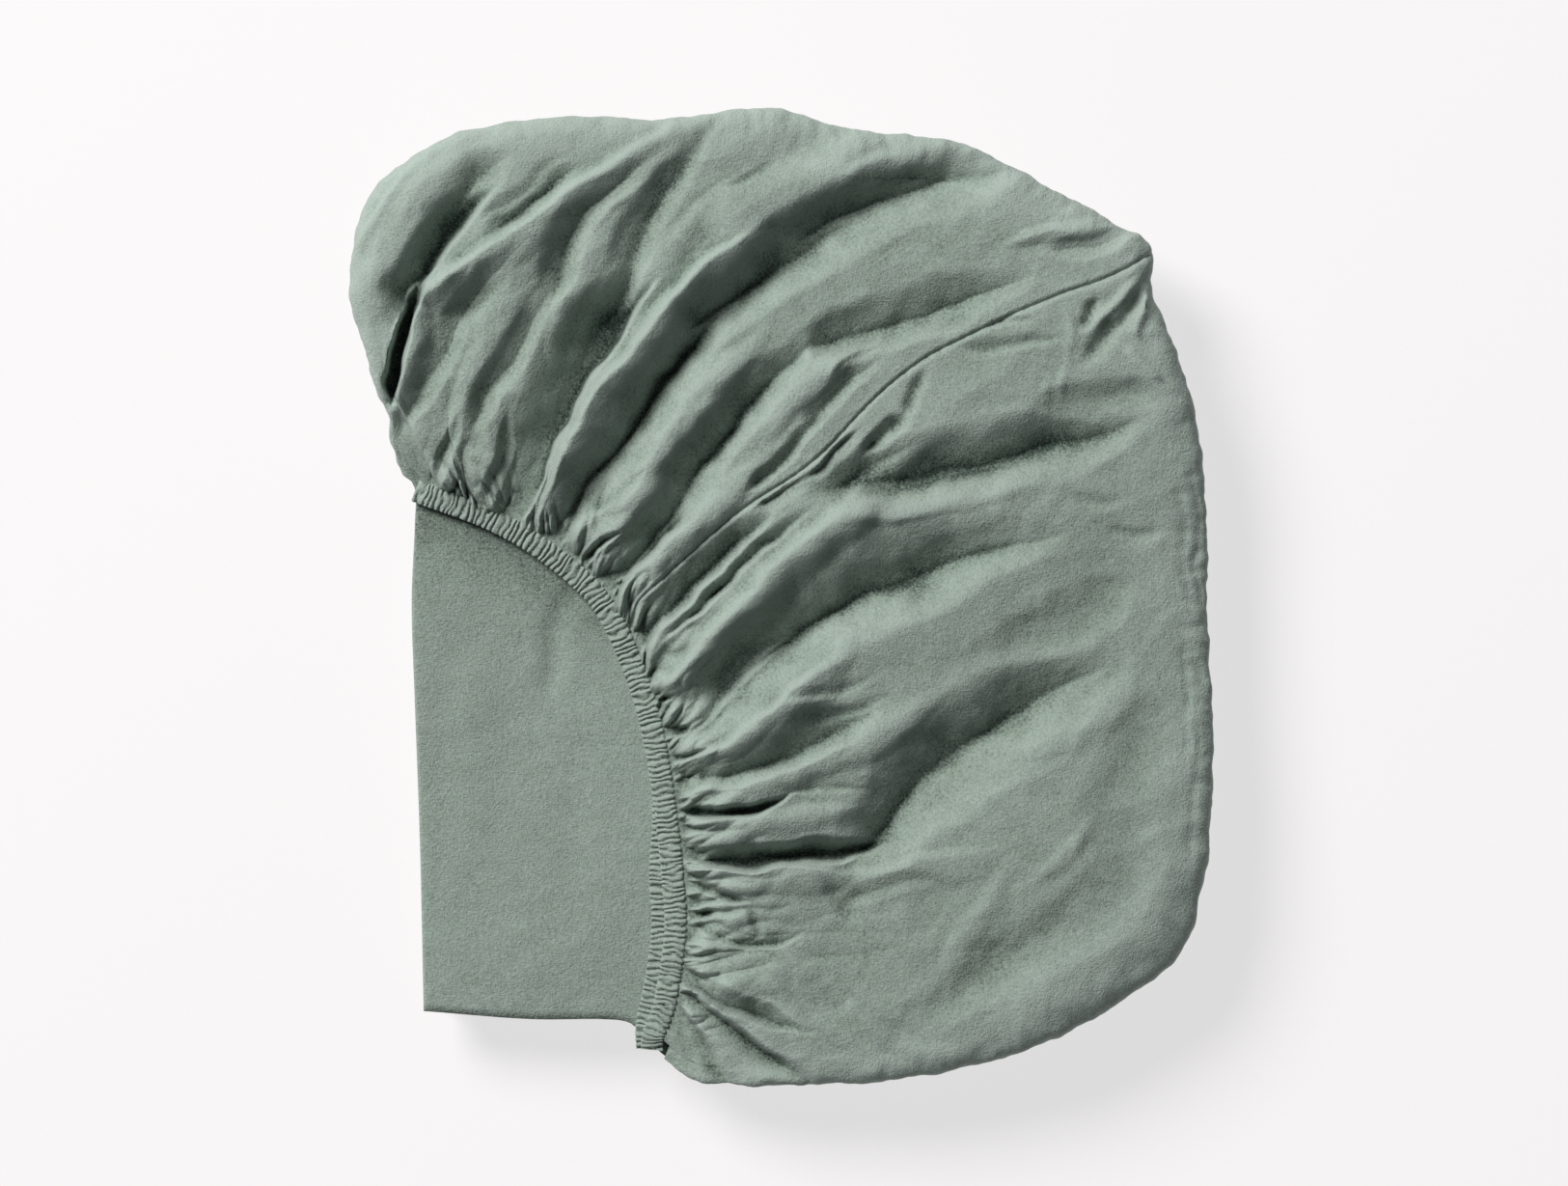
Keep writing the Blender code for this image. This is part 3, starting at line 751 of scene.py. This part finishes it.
def layer_plan(layer, across, along):
    """Plan points of one layer, whose four edges follow the outline."""
    top = closed_outline()
    place = np.arange(len(top))
    covered = smoothstep((place - corner_index("pocket_start")) / SPAN_SAMPLES)
    covered = covered * smoothstep((corner_index("pocket_end") - place) / SPAN_SAMPLES)
    inset = covered * (EDGE_UNDER_RADIUS + LAYER_THICKNESS) - (1 - covered) * OPEN_LAYERS_REACH
    top = top * (1 - inset / np.abs(top).max())[:, None]
    lower = top.copy()
    lower[:, 0] = np.clip(lower[:, 0], LEFT_LIMIT, RIGHT_LIMIT)
    lower[:, 1] = np.clip(lower[:, 1], FRONT_LIMIT, BACK_LIMIT)
    lower *= LOWER_INSET
    left_share = edge_flare(layer // 2, (LAYER_COUNT - 1) // 2)
    right_share = edge_flare((layer + 1) // 2, LAYER_COUNT // 2)
    side_share = (1 - across) * left_share + across * right_share
    front_left = corner_index("front_left")
    back_left = corner_index("back_left")
    tip = corner_index("tip")
    front_right = corner_index("front_right")
    left = between(lower, top, slice(front_left, back_left + 1), along, left_share)
    back = between(lower, top, slice(back_left, tip + 1), across, side_share[:, None])
    right = between(lower, top, slice(tip, front_right + 1), 1 - along, right_share)
    front = between(lower, top, slice(front_right, None), 1 - across, side_share[:, None])
    u = across[:, None, None]
    v = along[None, :, None]
    sides = (1 - u) * left[None] + u * right[None]
    ends = (1 - v) * front[:, None] + v * back[:, None]
    corners = (1 - u) * (1 - v) * left[0] + (1 - u) * v * left[-1]
    corners = corners + u * (1 - v) * right[0] + u * v * right[-1]
    return sides + ends - corners


def stack_grid():
    """The back-and-forth sheet: rows run along its length, from the lowest layer to the top one."""
    along = np.linspace(0.0, 1.0, STATIONS)
    rows = []
    for layer in range(LAYER_COUNT):
        on_top = layer == LAYER_COUNT - 1
        across = np.linspace(0.0, 1.0, TOP_RUNS if on_top else LOWER_RUNS)
        plan = layer_plan(layer, across, along)
        x, y = plan[..., 0], plan[..., 1]
        height = layer_heights(x, y, layer)
        wave = noise(x / LAYER_WAVE_CELL, y / LAYER_WAVE_CELL, LAYER_WAVE_SEED + layer)
        height = height + LAYER_WAVE_HEIGHT * wave * min(1.0, layer / CALM_LAYERS)
        if on_top:
            height = height + fold_relief(x, y, LAYER_FOLDS)
            height = height + TOP_CRUMPLE_SHARE * crumple(x, y)
        sheet = np.concatenate([plan, height[..., None]], axis=2)
        goes_left = (LAYER_COUNT - 1 - layer) % 2 == 1
        if goes_left:
            sheet = sheet[::-1]
        if rows:
            rows.extend(crease(rows[-1], sheet[0], 1 if goes_left else -1))
        rows.extend(list(sheet))
    return np.array(rows)


def crease(start, end, side):
    """Round turn from one layer's edge to the next one's, bulging to the given side."""
    turns = []
    for step in range(1, CREASE_STEPS + 1):
        angle = math.pi * step / (CREASE_STEPS + 1)
        share = (1 - math.cos(angle)) / 2
        point = (1 - share) * start + share * end
        point[:, 0] += side * LAYER_PITCH / 2 * math.sin(angle)
        turns.append(point)
    return turns


def inward(line, shares):
    """Unit directions across a clockwise line, towards the middle of the bundle."""
    before = at_shares(line, np.maximum(0.0, shares - EDGE_WINDOW))
    after = at_shares(line, np.minimum(1.0, shares + EDGE_WINDOW))
    along = after - before
    along /= np.linalg.norm(along, axis=1)[:, None]
    return np.column_stack([along[:, 1], -along[:, 0]])


def along_paths(paths, distance):
    """Points of every path at its own distances."""
    steps = np.linalg.norm(np.diff(paths, axis=1), axis=2)
    run = np.concatenate([np.zeros((len(paths), 1)), np.cumsum(steps, axis=1)], axis=1)
    points = np.empty(distance.shape + (2,))
    for rib, path in enumerate(paths):
        for axis in range(2):
            points[rib, :, axis] = np.interp(distance[rib], run[rib], path[:, axis])
    return points


def gathers(position, distance):
    """Height of the gathers that leave the hem, by their place along it and distance from it."""
    total = np.zeros_like(distance)
    for width, reach, rise, height, seed in GATHER_WAVES:
        drift = distance / (reach * MM)
        bulge = np.abs(noise(position / width, GATHER_DRIFT * drift, seed)) ** GATHER_BLUNTNESS
        grown = 1 - np.exp(-distance / (rise * MM))
        total += height * MM * (bulge - GATHER_LEVEL) * grown * np.exp(-distance / (reach * MM))
    return total


def pocket_surface(shares):
    """Points of the pocket at the given shares of the fan: ribs by rows, from the hem to the lip."""
    edge = closed_outline()[corner_index("pocket_start") : corner_index("pocket_end") + 1]
    hem = smooth_line(np.array(HEM_LINE) * MM, SPAN_SAMPLES)
    fan = at_shares(smooth_line(np.array(FAN), SPAN_SAMPLES), shares)
    start = at_shares(hem, fan[:, 0])
    end = at_shares(edge, fan[:, 1])
    across = inward(edge, fan[:, 1])
    roll = fan[:, 4:5] * MM
    middle = fan[:, 2:4] * MM
    t = np.linspace(0.0, 1.0, PATH_SAMPLES)[None, :, None]
    paths = curve_through(start[:, None], middle[:, None], (end + roll * across)[:, None], t)
    length = np.linalg.norm(np.diff(paths, axis=1), axis=2).sum(axis=1)
    casing = np.minimum(HEM_CASING_WIDTH, CASING_SHARE * length)[:, None]
    tucked = TUCKED_SHARE * casing
    rows = np.linspace(0.0, 1.0, DOME_ROWS) ** ROW_CROWDING
    distance = tucked + (length[:, None] - tucked) * rows
    dome = along_paths(paths, distance)
    dome += seam_pull(dome, shares)
    reach = np.linalg.norm(end - start, axis=1)
    ends = np.minimum(shares, 1 - shares) / RISING_SHARE
    risen = np.sqrt(np.maximum(0.0, 1 - (1 - np.minimum(1.0, ends)) ** 2))
    risen = (risen * np.minimum(1.0, reach / RISING_REACH))[:, None]
    free = np.maximum(0.0, distance - casing)
    full = full_height(dome, free, risen)
    height = dome_height(dome, free, risen, fan[:, 0:1] * GATHER_COUNT, full)
    base = top_surface(dome[..., 0], dome[..., 1])
    surface = np.concatenate([dome, (base + height)[..., None]], axis=2)
    return np.concatenate([surface, rim(end, across, roll, full[:, -1:], risen)], axis=1)


def seam_pull(dome, shares):
    """Moves of the ribs near the corner seam that bring the seam's own rib on to its line."""
    target = smooth_line([plan_point(x, y) for x, y in SEAM_LINE], SPAN_SAMPLES)
    rib = dome[np.abs(shares - SEAM_SHARE).argmin()]
    gap = np.linalg.norm(rib[:, None] - target[None], axis=2)
    nearest = target[gap.argmin(axis=1)] - rib
    nearest = smoothed(nearest[None].repeat(3, axis=0), SEAM_PULL_ROUNDS)[1]
    place = np.linspace(0.0, 1.0, len(rib))
    kept = smoothstep(place * SEAM_PULL_IN) * smoothstep((1 - place) * SEAM_PULL_OUT)
    share = np.exp(-(((shares - SEAM_SHARE) / SEAM_PULL_SHARE) ** 2))
    return share[:, None, None] * (nearest * kept[:, None])[None]


def full_height(dome, free, risen):
    """Height of the pocket's smooth form above the top layer."""
    x, y = dome[..., 0], dome[..., 1]
    swell = 1 + RISE_VARIATION * np.sin((x - SWELL_X) / SWELL_ACROSS) * np.cos(y / SWELL_ALONG)
    billow = 1 - np.exp(-free / BILLOW_LENGTH)
    return HEM_HEIGHT + (POCKET_RISE * swell - HEM_HEIGHT) * billow * risen


def dome_height(dome, free, risen, position, full):
    """The smooth form with its folds. Free is the distance from the hem's stitching."""
    x, y = dome[..., 0], dome[..., 1]
    held = smoothstep(free / FOLD_START)
    relief = FOLD_DEPTH * fold_relief(x, y, POCKET_FOLDS) * held / np.sqrt(risen + RISEN_FLOOR)
    fine = crumple(x, y) * held + gathers(position + 0 * free, free)
    height = full + (relief + fine) * risen
    over = height - LEAST_HEIGHT
    soft = HEM_SOFTNESS + ADDED_SOFTNESS * smoothstep(free / LEAST_HEIGHT_REACH)
    return LEAST_HEIGHT + 0.5 * (over + np.sqrt(over**2 + soft**2))


def rim(end, across, roll, crown, risen):
    """Rows that roll round the bundle's edge, turn under it and end as a short lip."""
    side = LIP_LIFT + EDGE_UNDER_RADIUS + EDGE_LIFT * risen
    rows = []
    for angle in np.linspace(0.0, math.pi / 2, ROLL_ROWS + 1)[1:]:
        plan = end + roll * (1 - math.sin(angle)) * across
        x, y = plan[:, :1], plan[:, 1:2]
        relief = FOLD_DEPTH * fold_relief(x, y, POCKET_FOLDS) * np.sqrt(risen)
        relief = relief + crumple(x, y) * risen
        fall = math.cos(angle) ** ROLL_SQUARENESS
        rows.append((plan, side + np.maximum(crown - side + relief, 0.0) * fall))
    for angle in np.linspace(0.0, math.pi / 2, UNDER_ROWS + 1)[1:]:
        plan = end + EDGE_UNDER_RADIUS * (1 - math.cos(angle)) * across
        rows.append((plan, LIP_LIFT + (side - LIP_LIFT) * (1 - math.sin(angle))))
    rows.append((end + (EDGE_UNDER_RADIUS + LIP_LENGTH) * across, LIP_LIFT + 0 * side))
    points = []
    for plan, height in rows:
        base = top_surface(plan[:, :1], plan[:, 1:2])
        points.append(np.concatenate([plan, base + height], axis=1))
    return np.stack(points, axis=1)


def grid_normals(grid):
    """Unit normals of a grid of points, upwards on a level part."""
    first = np.gradient(grid, axis=0)
    second = np.gradient(grid, axis=1)
    normal = np.cross(first, second)
    normal /= np.linalg.norm(normal, axis=2)[..., None] + 1e-12
    if normal[..., 2].mean() < 0:
        normal = -normal
    return normal


def smoothed(values, rounds):
    """A grid of values, blurred along both of its directions."""
    values = values.copy()
    for _ in range(rounds):
        values[1:-1] = (values[:-2] + 2 * values[1:-1] + values[2:]) / 4
        values[:, 1:-1] = (values[:, :-2] + 2 * values[:, 1:-1] + values[:, 2:]) / 4
    return values


def panel_grid(first, last):
    """One panel of the pocket between two shares of the fan, with ripples on its rolled edge."""
    grid = pocket_surface(np.linspace(first, last, PANEL_RIBS))
    rim_rows = ROLL_ROWS + UNDER_ROWS + 1
    normals = grid_normals(grid)
    edge_run = np.cumsum(np.linalg.norm(np.diff(grid[:, -1], axis=0, prepend=grid[:1, -1]), axis=1))
    level = np.linspace(0.0, 1.0, rim_rows)[None, :]
    run = edge_run[:, None] + 0 * level
    ripple = np.zeros_like(run)
    for height, length, features, seed in RIM_RIPPLES:
        ripple += height * MM * noise(run / (length * MM), features * level, seed)
    fade = smoothstep(level * RIM_RIPPLE_FADE) * smoothstep((1 - level) * RIM_RIPPLE_FADE)
    grid[:, -rim_rows:] += (ripple * fade)[..., None] * normals[:, -rim_rows:]
    return grid


def seam_groove(grid, seam_line):
    """Turns the panel's surface down into the seam, with tiny puckers beside it."""
    points = grid[..., :2].reshape(-1, 2)
    steps = np.diff(seam_line[:, :2], axis=0)
    run = np.concatenate([[0.0], np.cumsum(np.linalg.norm(steps, axis=1))])
    nearest = np.empty(len(points))
    place = np.empty(len(points))
    for start in range(0, len(points), POINTS_AT_ONCE):
        part = slice(start, start + POINTS_AT_ONCE)
        gap = np.linalg.norm(points[part, None] - seam_line[None, :, :2], axis=2)
        nearest[part] = gap.min(axis=1)
        place[part] = run[gap.argmin(axis=1)]
    nearest = nearest.reshape(grid.shape[:2])
    place = place.reshape(grid.shape[:2])
    drift = PUCKER_DRIFT * noise(place / PUCKER_CELL, place * 0, PUCKER_SEED)
    pucker = PUCKER_HEIGHT * np.sin(place / PUCKER_LENGTH + drift)
    dip = SEAM_DEPTH * np.exp(-((nearest / SEAM_WIDTH) ** 2))
    grid[..., 2] += pucker * np.exp(-nearest / PUCKER_REACH) - dip
    return grid


def mesh_from_grid(name, grid, painted_shade, closed=False):
    """Mesh object of a grid of points, which keeps each point's painted shade value as an attribute.
    """
    rows, columns = grid.shape[:2]
    index = np.arange(rows * columns).reshape(rows, columns)
    if closed:
        index = np.concatenate([index, index[:, :1]], axis=1)
    corners = [index[:-1, :-1], index[1:, :-1], index[1:, 1:], index[:-1, 1:]]
    quads = np.stack([corner.ravel() for corner in corners], axis=1)
    if grid_facing(grid) < 0:
        quads = quads[:, ::-1]
    mesh = bpy.data.meshes.new(name)
    mesh.vertices.add(rows * columns)
    mesh.vertices.foreach_set("co", grid.reshape(-1).astype(np.float32))
    mesh.loops.add(quads.size)
    mesh.loops.foreach_set("vertex_index", quads.ravel().astype(np.int32))
    mesh.polygons.add(len(quads))
    mesh.polygons.foreach_set("loop_start", np.arange(0, quads.size, 4, dtype=np.int32))
    mesh.polygons.foreach_set("use_smooth", np.ones(len(quads), bool))
    mesh.update(calc_edges=True)
    mesh.validate()
    # Painted shade: this value darkens the colour in hollows and pales it on ridges
    attribute = mesh.attributes.new("painted_shade", "FLOAT", "POINT")
    attribute.data.foreach_set("value", painted_shade.ravel().astype(np.float32))
    piece = bpy.data.objects.new(name, mesh)
    bpy.context.scene.collection.objects.link(piece)
    return piece


def hollowness(height):
    """How far each point lies below its near and its wider surroundings. Negative on ridges."""
    near = smoothed(height, NEAR_ROUNDS)
    wide = smoothed(near, WIDE_ROUNDS)
    return (near - height) / NEAR_HOLLOW + (wide - height) / WIDE_HOLLOW


def layer_shade(grid, hem):
    """Painted shade values of the flat layers: a painted shadow where they run under the hem, less a
    small paleness over all of them.
    """
    points = grid[..., :2].reshape(-1, 2)
    line = at_shares(hem, np.linspace(0.0, 1.0, SHADE_POINTS))
    gap = np.linalg.norm(points[:, None] - line[None], axis=2).min(axis=1)
    upper = smoothstep((points[:, 1] - SHADE_START) / SHADE_GROWTH)
    # Painted shadow of the pocket and hem, fading away from the hem
    shade = SHADE_STRENGTH * upper * np.exp(-gap / SHADE_LENGTH) - LAYER_PALENESS
    return shade.reshape(grid.shape[:2])


def panel_shade(grid):
    """Painted shade values of a pocket panel, dark in its hollows and pale on its ridges, kept from
    going dark at the hem and under its rim.
    """
    # Painted shade in the hollows and painted highlight on the ridges
    shade = hollowness(grid[..., 2])
    row = np.arange(grid.shape[1])
    edge = 1 - smoothstep(row / HEM_SHADE_ROWS) + smoothstep((row - DOME_ROWS) / ROLL_ROWS)
    return np.minimum(shade, DEEPEST_PAINTED_SHADE + (EDGE_PAINTED_SHADE - DEEPEST_PAINTED_SHADE) * edge)


def grid_facing(grid):
    """Positive where the quads of a grid, wound along its rows first, face upwards on the whole."""
    first = np.diff(grid, axis=0)[:, :-1]
    second = np.diff(grid, axis=1)[:-1]
    return np.cross(first, second)[..., 2].sum()


def outwards(line):
    """Unit directions across a hem's open edge, away from the pocket."""
    step = np.gradient(line, axis=0)
    away = np.column_stack([step[:, 1], -step[:, 0]])
    return away / np.linalg.norm(away, axis=1)[:, None]


def hem_grid(line, width, low, high, seed, stations):
    """Gathered hem: closed sections across the band, one after another along its open edge.

    The second result is each point's painted shade value, which is deepest between two pleats and a
    painted highlight on their crests.
    """
    shares = np.linspace(0.0, 1.0, stations)
    edge = at_shares(line, shares)
    length = np.linalg.norm(np.diff(line, axis=0), axis=1).sum()
    pitch = GATHERED_LENGTH / GATHER_COUNT
    along = shares[:, None] * (length / pitch)
    turn = np.linspace(0.0, 2 * math.pi, CASING_SIDES, endpoint=False)
    upper = np.where(np.sin(turn) > 0, 1.0, 0.0)
    rounded = np.abs(np.sin(turn)) ** CASING_BLUNTNESS
    across = (0.5 - 0.5 * np.cos(turn))[None, :]
    phase = along
    for amount, cell, features, added in PLEAT_WANDER:
        phase = phase + amount * noise(along / cell, across * features, seed + added)
    bump = np.abs(np.sin(math.pi * phase)) ** PLEAT_BLUNTNESS
    cell, features, added = PLEAT_SIZE_CELL
    size = PLEAT_SIZE + PLEAT_VARIATION * noise(along / cell, across * features, seed + added)
    ends = smoothstep(shares * END_FADE) * smoothstep((1 - shares) * END_FADE)
    ends = ends[:, None]
    tall = (high - low) / 2 * rounded[None, :] * (END_HEIGHT + (1 - END_HEIGHT) * ends)
    lift = (upper - UNDERSIDE_SHARE * (1 - upper)) * tall
    lift = lift + upper * GATHER_HEIGHT * size * (bump - PLEAT_LEVEL)
    inset = width * across - PLEAT_INSET * (bump - 0.5) * (1 - 2 * across)
    plan = edge[:, None] - inset[..., None] * outwards(edge)[:, None]
    base = top_surface(plan[..., 0], plan[..., 1])
    rise = CASING_RISE * smoothstep(across) * ends
    height = base + (low + high) / 2 + rise + lift
    # Painted shade between the pleats and a painted highlight on their crests
    painted_shade = PAINTED_PLEAT_SHADE - PAINTED_PLEAT_CONTRAST * bump
    return np.concatenate([plan, height[..., None]], axis=2), painted_shade


def linen(name, turn):
    """Washed linen: woven grain and slubs, with painted shade in the hollows and painted highlights
    on the ridges.
    """
    material = bpy.data.materials.new(name)
    material.use_nodes = True
    nodes = material.node_tree.nodes
    links = material.node_tree.links
    shader = nodes["Principled BSDF"]
    shader.inputs["Roughness"].default_value = 0.88
    shader.inputs["Specular IOR Level"].default_value = 0.25
    shader.inputs["Sheen Weight"].default_value = 0.12
    shader.inputs["Sheen Roughness"].default_value = 0.45
    place = nodes.new("ShaderNodeTexCoord")

    def grain(scale, detail, angle):
        mapping = nodes.new("ShaderNodeMapping")
        mapping.inputs["Rotation"].default_value = (0.0, 0.0, math.radians(angle))
        mapping.inputs["Scale"].default_value = scale
        texture = nodes.new("ShaderNodeTexNoise")
        texture.inputs["Scale"].default_value = 1.0
        texture.inputs["Detail"].default_value = detail
        texture.inputs["Roughness"].default_value = 0.6
        links.new(place.outputs["Object"], mapping.inputs["Vector"])
        links.new(mapping.outputs["Vector"], texture.inputs["Vector"])
        return texture.outputs["Fac"]

    def combine(operation, first, second):
        node = nodes.new("ShaderNodeMath")
        node.operation = operation
        for socket, value in zip(node.inputs, (first, second)):
            if isinstance(value, (int, float)):
                socket.default_value = value
            else:
                links.new(value, socket)
        return node.outputs["Value"]

    warp = grain(WARP_SCALE, 3.0, turn)
    weft = grain(WEFT_SCALE, 3.0, turn)
    slub = grain(SLUB_SCALE, 3.0, turn + SLUB_TURN)
    mottle = grain(MOTTLE_SCALE, 4.0, turn + MOTTLE_TURN)
    weave = combine("ADD", warp, weft)
    weave = combine("ADD", weave, combine("MULTIPLY", slub, SLUB_WEIGHT))

    # Painted shade and highlight: the point value darkens the hollows and pales the ridges
    painted_shade = nodes.new("ShaderNodeAttribute")
    painted_shade.attribute_name = "painted_shade"
    depth = nodes.new("ShaderNodeMapRange")
    depth.inputs["From Min"].default_value = PAINTED_SHADE_RANGE[0]
    depth.inputs["From Max"].default_value = PAINTED_SHADE_RANGE[1]
    links.new(painted_shade.outputs["Fac"], depth.inputs["Value"])
    patches = combine("MULTIPLY", combine("SUBTRACT", mottle, MEAN_MOTTLE), MOTTLE_WEIGHT)
    threads = combine("MULTIPLY", combine("SUBTRACT", weave, MEAN_WEAVE), WEAVE_WEIGHT)
    tone = combine("MULTIPLY", depth.outputs["Result"], PAINTED_SHADE_WEIGHT)
    tone = combine("ADD", tone, patches)
    tone = combine("ADD", tone, threads)
    # Colours from a painted highlight, through the cloth's middle colour, to painted shade
    ramp = nodes.new("ShaderNodeValToRGB")
    ramp.color_ramp.elements[0].position = 0.0
    ramp.color_ramp.elements[0].color = PALE_GRAIN_AND_HIGHLIGHT_COLOUR
    ramp.color_ramp.elements[1].position = 1.0
    ramp.color_ramp.elements[1].color = PAINTED_SHADE_COLOUR
    middle = ramp.color_ramp.elements.new(MIDDLE_PLACE)
    middle.color = MIDDLE_COLOUR
    links.new(tone, ramp.inputs["Fac"])
    links.new(ramp.outputs["Color"], shader.inputs["Base Color"])

    bump = nodes.new("ShaderNodeBump")
    bump.inputs["Strength"].default_value = 0.55
    bump.inputs["Distance"].default_value = 0.0009
    links.new(weave, bump.inputs["Height"])
    soft = nodes.new("ShaderNodeBump")
    soft.inputs["Strength"].default_value = 0.35
    soft.inputs["Distance"].default_value = 0.0015
    links.new(mottle, soft.inputs["Height"])
    links.new(bump.outputs["Normal"], soft.inputs["Normal"])
    links.new(soft.outputs["Normal"], shader.inputs["Normal"])
    return material


def add_piece(piece, material):
    """Gives a piece its material, hangs it on the part's body and hides the part's solid."""
    piece.data.materials.append(material)
    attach(piece, "root")
    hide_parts("fitted_sheet")
    return piece


def second_hem_line(hem):
    """Open edge of the second hem, a little outside the front one and only towards the front."""
    line = at_shares(hem, np.linspace(SECOND_HEM_START, 1.0, SECOND_HEM_POINTS))
    place = np.linspace(0.0, 1.0, SECOND_HEM_POINTS)
    ending = smoothstep((1 - place) * SECOND_HEM_END_FADE)
    reach = SECOND_HEM_REACH * smoothstep(place * SECOND_HEM_GROWTH)
    reach = reach * (SECOND_HEM_END_REACH + (1 - SECOND_HEM_END_REACH) * ending)
    return line + reach[:, None] * outwards(line)


def build_pieces():
    """All pieces of the sheet, which together are one cut of cloth."""
    hem = smooth_line(np.array(HEM_ENDS[:1] + HEM_LINE + HEM_ENDS[1:]) * MM, SPAN_SAMPLES)
    stack = stack_grid()
    layers = mesh_from_grid("folded_layers", stack, layer_shade(stack, hem))
    thickness = layers.modifiers.new("cloth thickness", "SOLIDIFY")
    thickness.thickness = CLOTH_THICKNESS
    thickness.offset = 0.0
    upper = panel_grid(0.0, SEAM_SHARE)
    lower = panel_grid(SEAM_SHARE, 1.0)
    seam_line = lower[0, : DOME_ROWS + ROLL_ROWS]
    upper = seam_groove(upper, seam_line.copy())
    lower = seam_groove(lower, seam_line.copy())
    upper_panel = mesh_from_grid("pocket_upper_panel", upper, panel_shade(upper))
    lower_panel = mesh_from_grid("pocket_lower_panel", lower, panel_shade(lower))
    stations = GATHER_COUNT * GATHER_SAMPLES
    low, high = HEM_CLEARANCE, CASING_HEIGHT
    band, shade = hem_grid(hem, HEM_CASING_WIDTH, low, high, HEM_SEED, stations)
    front = mesh_from_grid("elastic_hem", band, shade, closed=True)
    behind = second_hem_line(hem)
    low, high = SECOND_HEM_BOTTOM, SECOND_HEM_TOP
    strip, shade = hem_grid(behind, SECOND_HEM_WIDTH, low, high, SECOND_HEM_SEED, stations // 2)
    second = mesh_from_grid("second_hem", strip, shade, closed=True)
    flat = linen("washed_linen_layers", LAYER_TURN)
    pocket = linen("washed_linen_pocket", POCKET_TURN)
    hems = linen("washed_linen_hem", HEM_TURN)
    add_piece(layers, flat)
    others = [
        add_piece(upper_panel, pocket),
        add_piece(lower_panel, pocket),
        add_piece(front, hems),
        add_piece(second, hems),
    ]


def add_floor():
    mesh = bpy.data.meshes.new("floor")
    signs = ((-1, -1), (1, -1), (1, 1), (-1, 1))
    corners = [(x * FLOOR_HALF, y * FLOOR_HALF, 0) for x, y in signs]
    mesh.from_pydata(corners, [], [(0, 1, 2, 3)])
    floor = bpy.data.objects.new("floor", mesh)
    bpy.context.scene.collection.objects.link(floor)
    material = bpy.data.materials.new("pale_floor")
    material.use_nodes = True
    shader = material.node_tree.nodes["Principled BSDF"]
    shader.inputs["Base Color"].default_value = FLOOR_COLOUR
    shader.inputs["Roughness"].default_value = 0.95
    shader.inputs["Emission Color"].default_value = (1.0, 0.985, 0.99, 1.0)
    shader.inputs["Emission Strength"].default_value = FLOOR_GLOW
    floor.data.materials.append(material)


def add_light(name, place, size, power, colour):
    """Round area light that shines at the middle of the bundle."""
    light = bpy.data.lights.new(name, "AREA")
    light.shape = "DISK"
    light.size = size
    light.energy = power
    light.color = colour
    lamp = bpy.data.objects.new(name, light)
    lamp.location = place
    direction = np.array(LIGHT_TARGET) - np.array(place)
    yaw = math.atan2(direction[1], direction[0])
    fall = math.acos(-direction[2] / np.linalg.norm(direction))
    lamp.rotation_euler = (fall, 0.0, yaw - math.pi / 2)
    bpy.context.scene.collection.objects.link(lamp)


def add_camera():
    """Camera straight above the bundle, which sees the photograph's frame at the cloth's level."""
    data = bpy.data.cameras.new("camera")
    data.sensor_width = SENSOR_WIDTH
    data.lens = SENSOR_WIDTH * CAMERA_DISTANCE / (PICTURE[0] * PIXEL)
    camera = bpy.data.objects.new("camera", data)
    x, y = plan_point(*PICTURE_CENTRE)
    camera.location = (x, y, CLOTH_LEVEL + CAMERA_DISTANCE)
    bpy.context.scene.collection.objects.link(camera)
    bpy.context.scene.camera = camera


def add_studio():
    scene = bpy.context.scene
    scene.view_settings.view_transform = "Standard"
    scene.view_settings.look = "None"
    world = bpy.data.worlds.new("studio")
    world.use_nodes = True
    background = world.node_tree.nodes["Background"]
    background.inputs["Color"].default_value = (0.98, 0.99, 1.0, 1.0)
    background.inputs["Strength"].default_value = WORLD_STRENGTH
    scene.world = world
    add_light("key", KEY_PLACE, KEY_SIZE, KEY_POWER, KEY_COLOUR)


def main():
    for old in list(bpy.data.objects):
        bpy.data.objects.remove(old, do_unlink=True)
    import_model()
    add_camera()
    build_pieces()
    add_floor()
    add_studio()
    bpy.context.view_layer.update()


main()
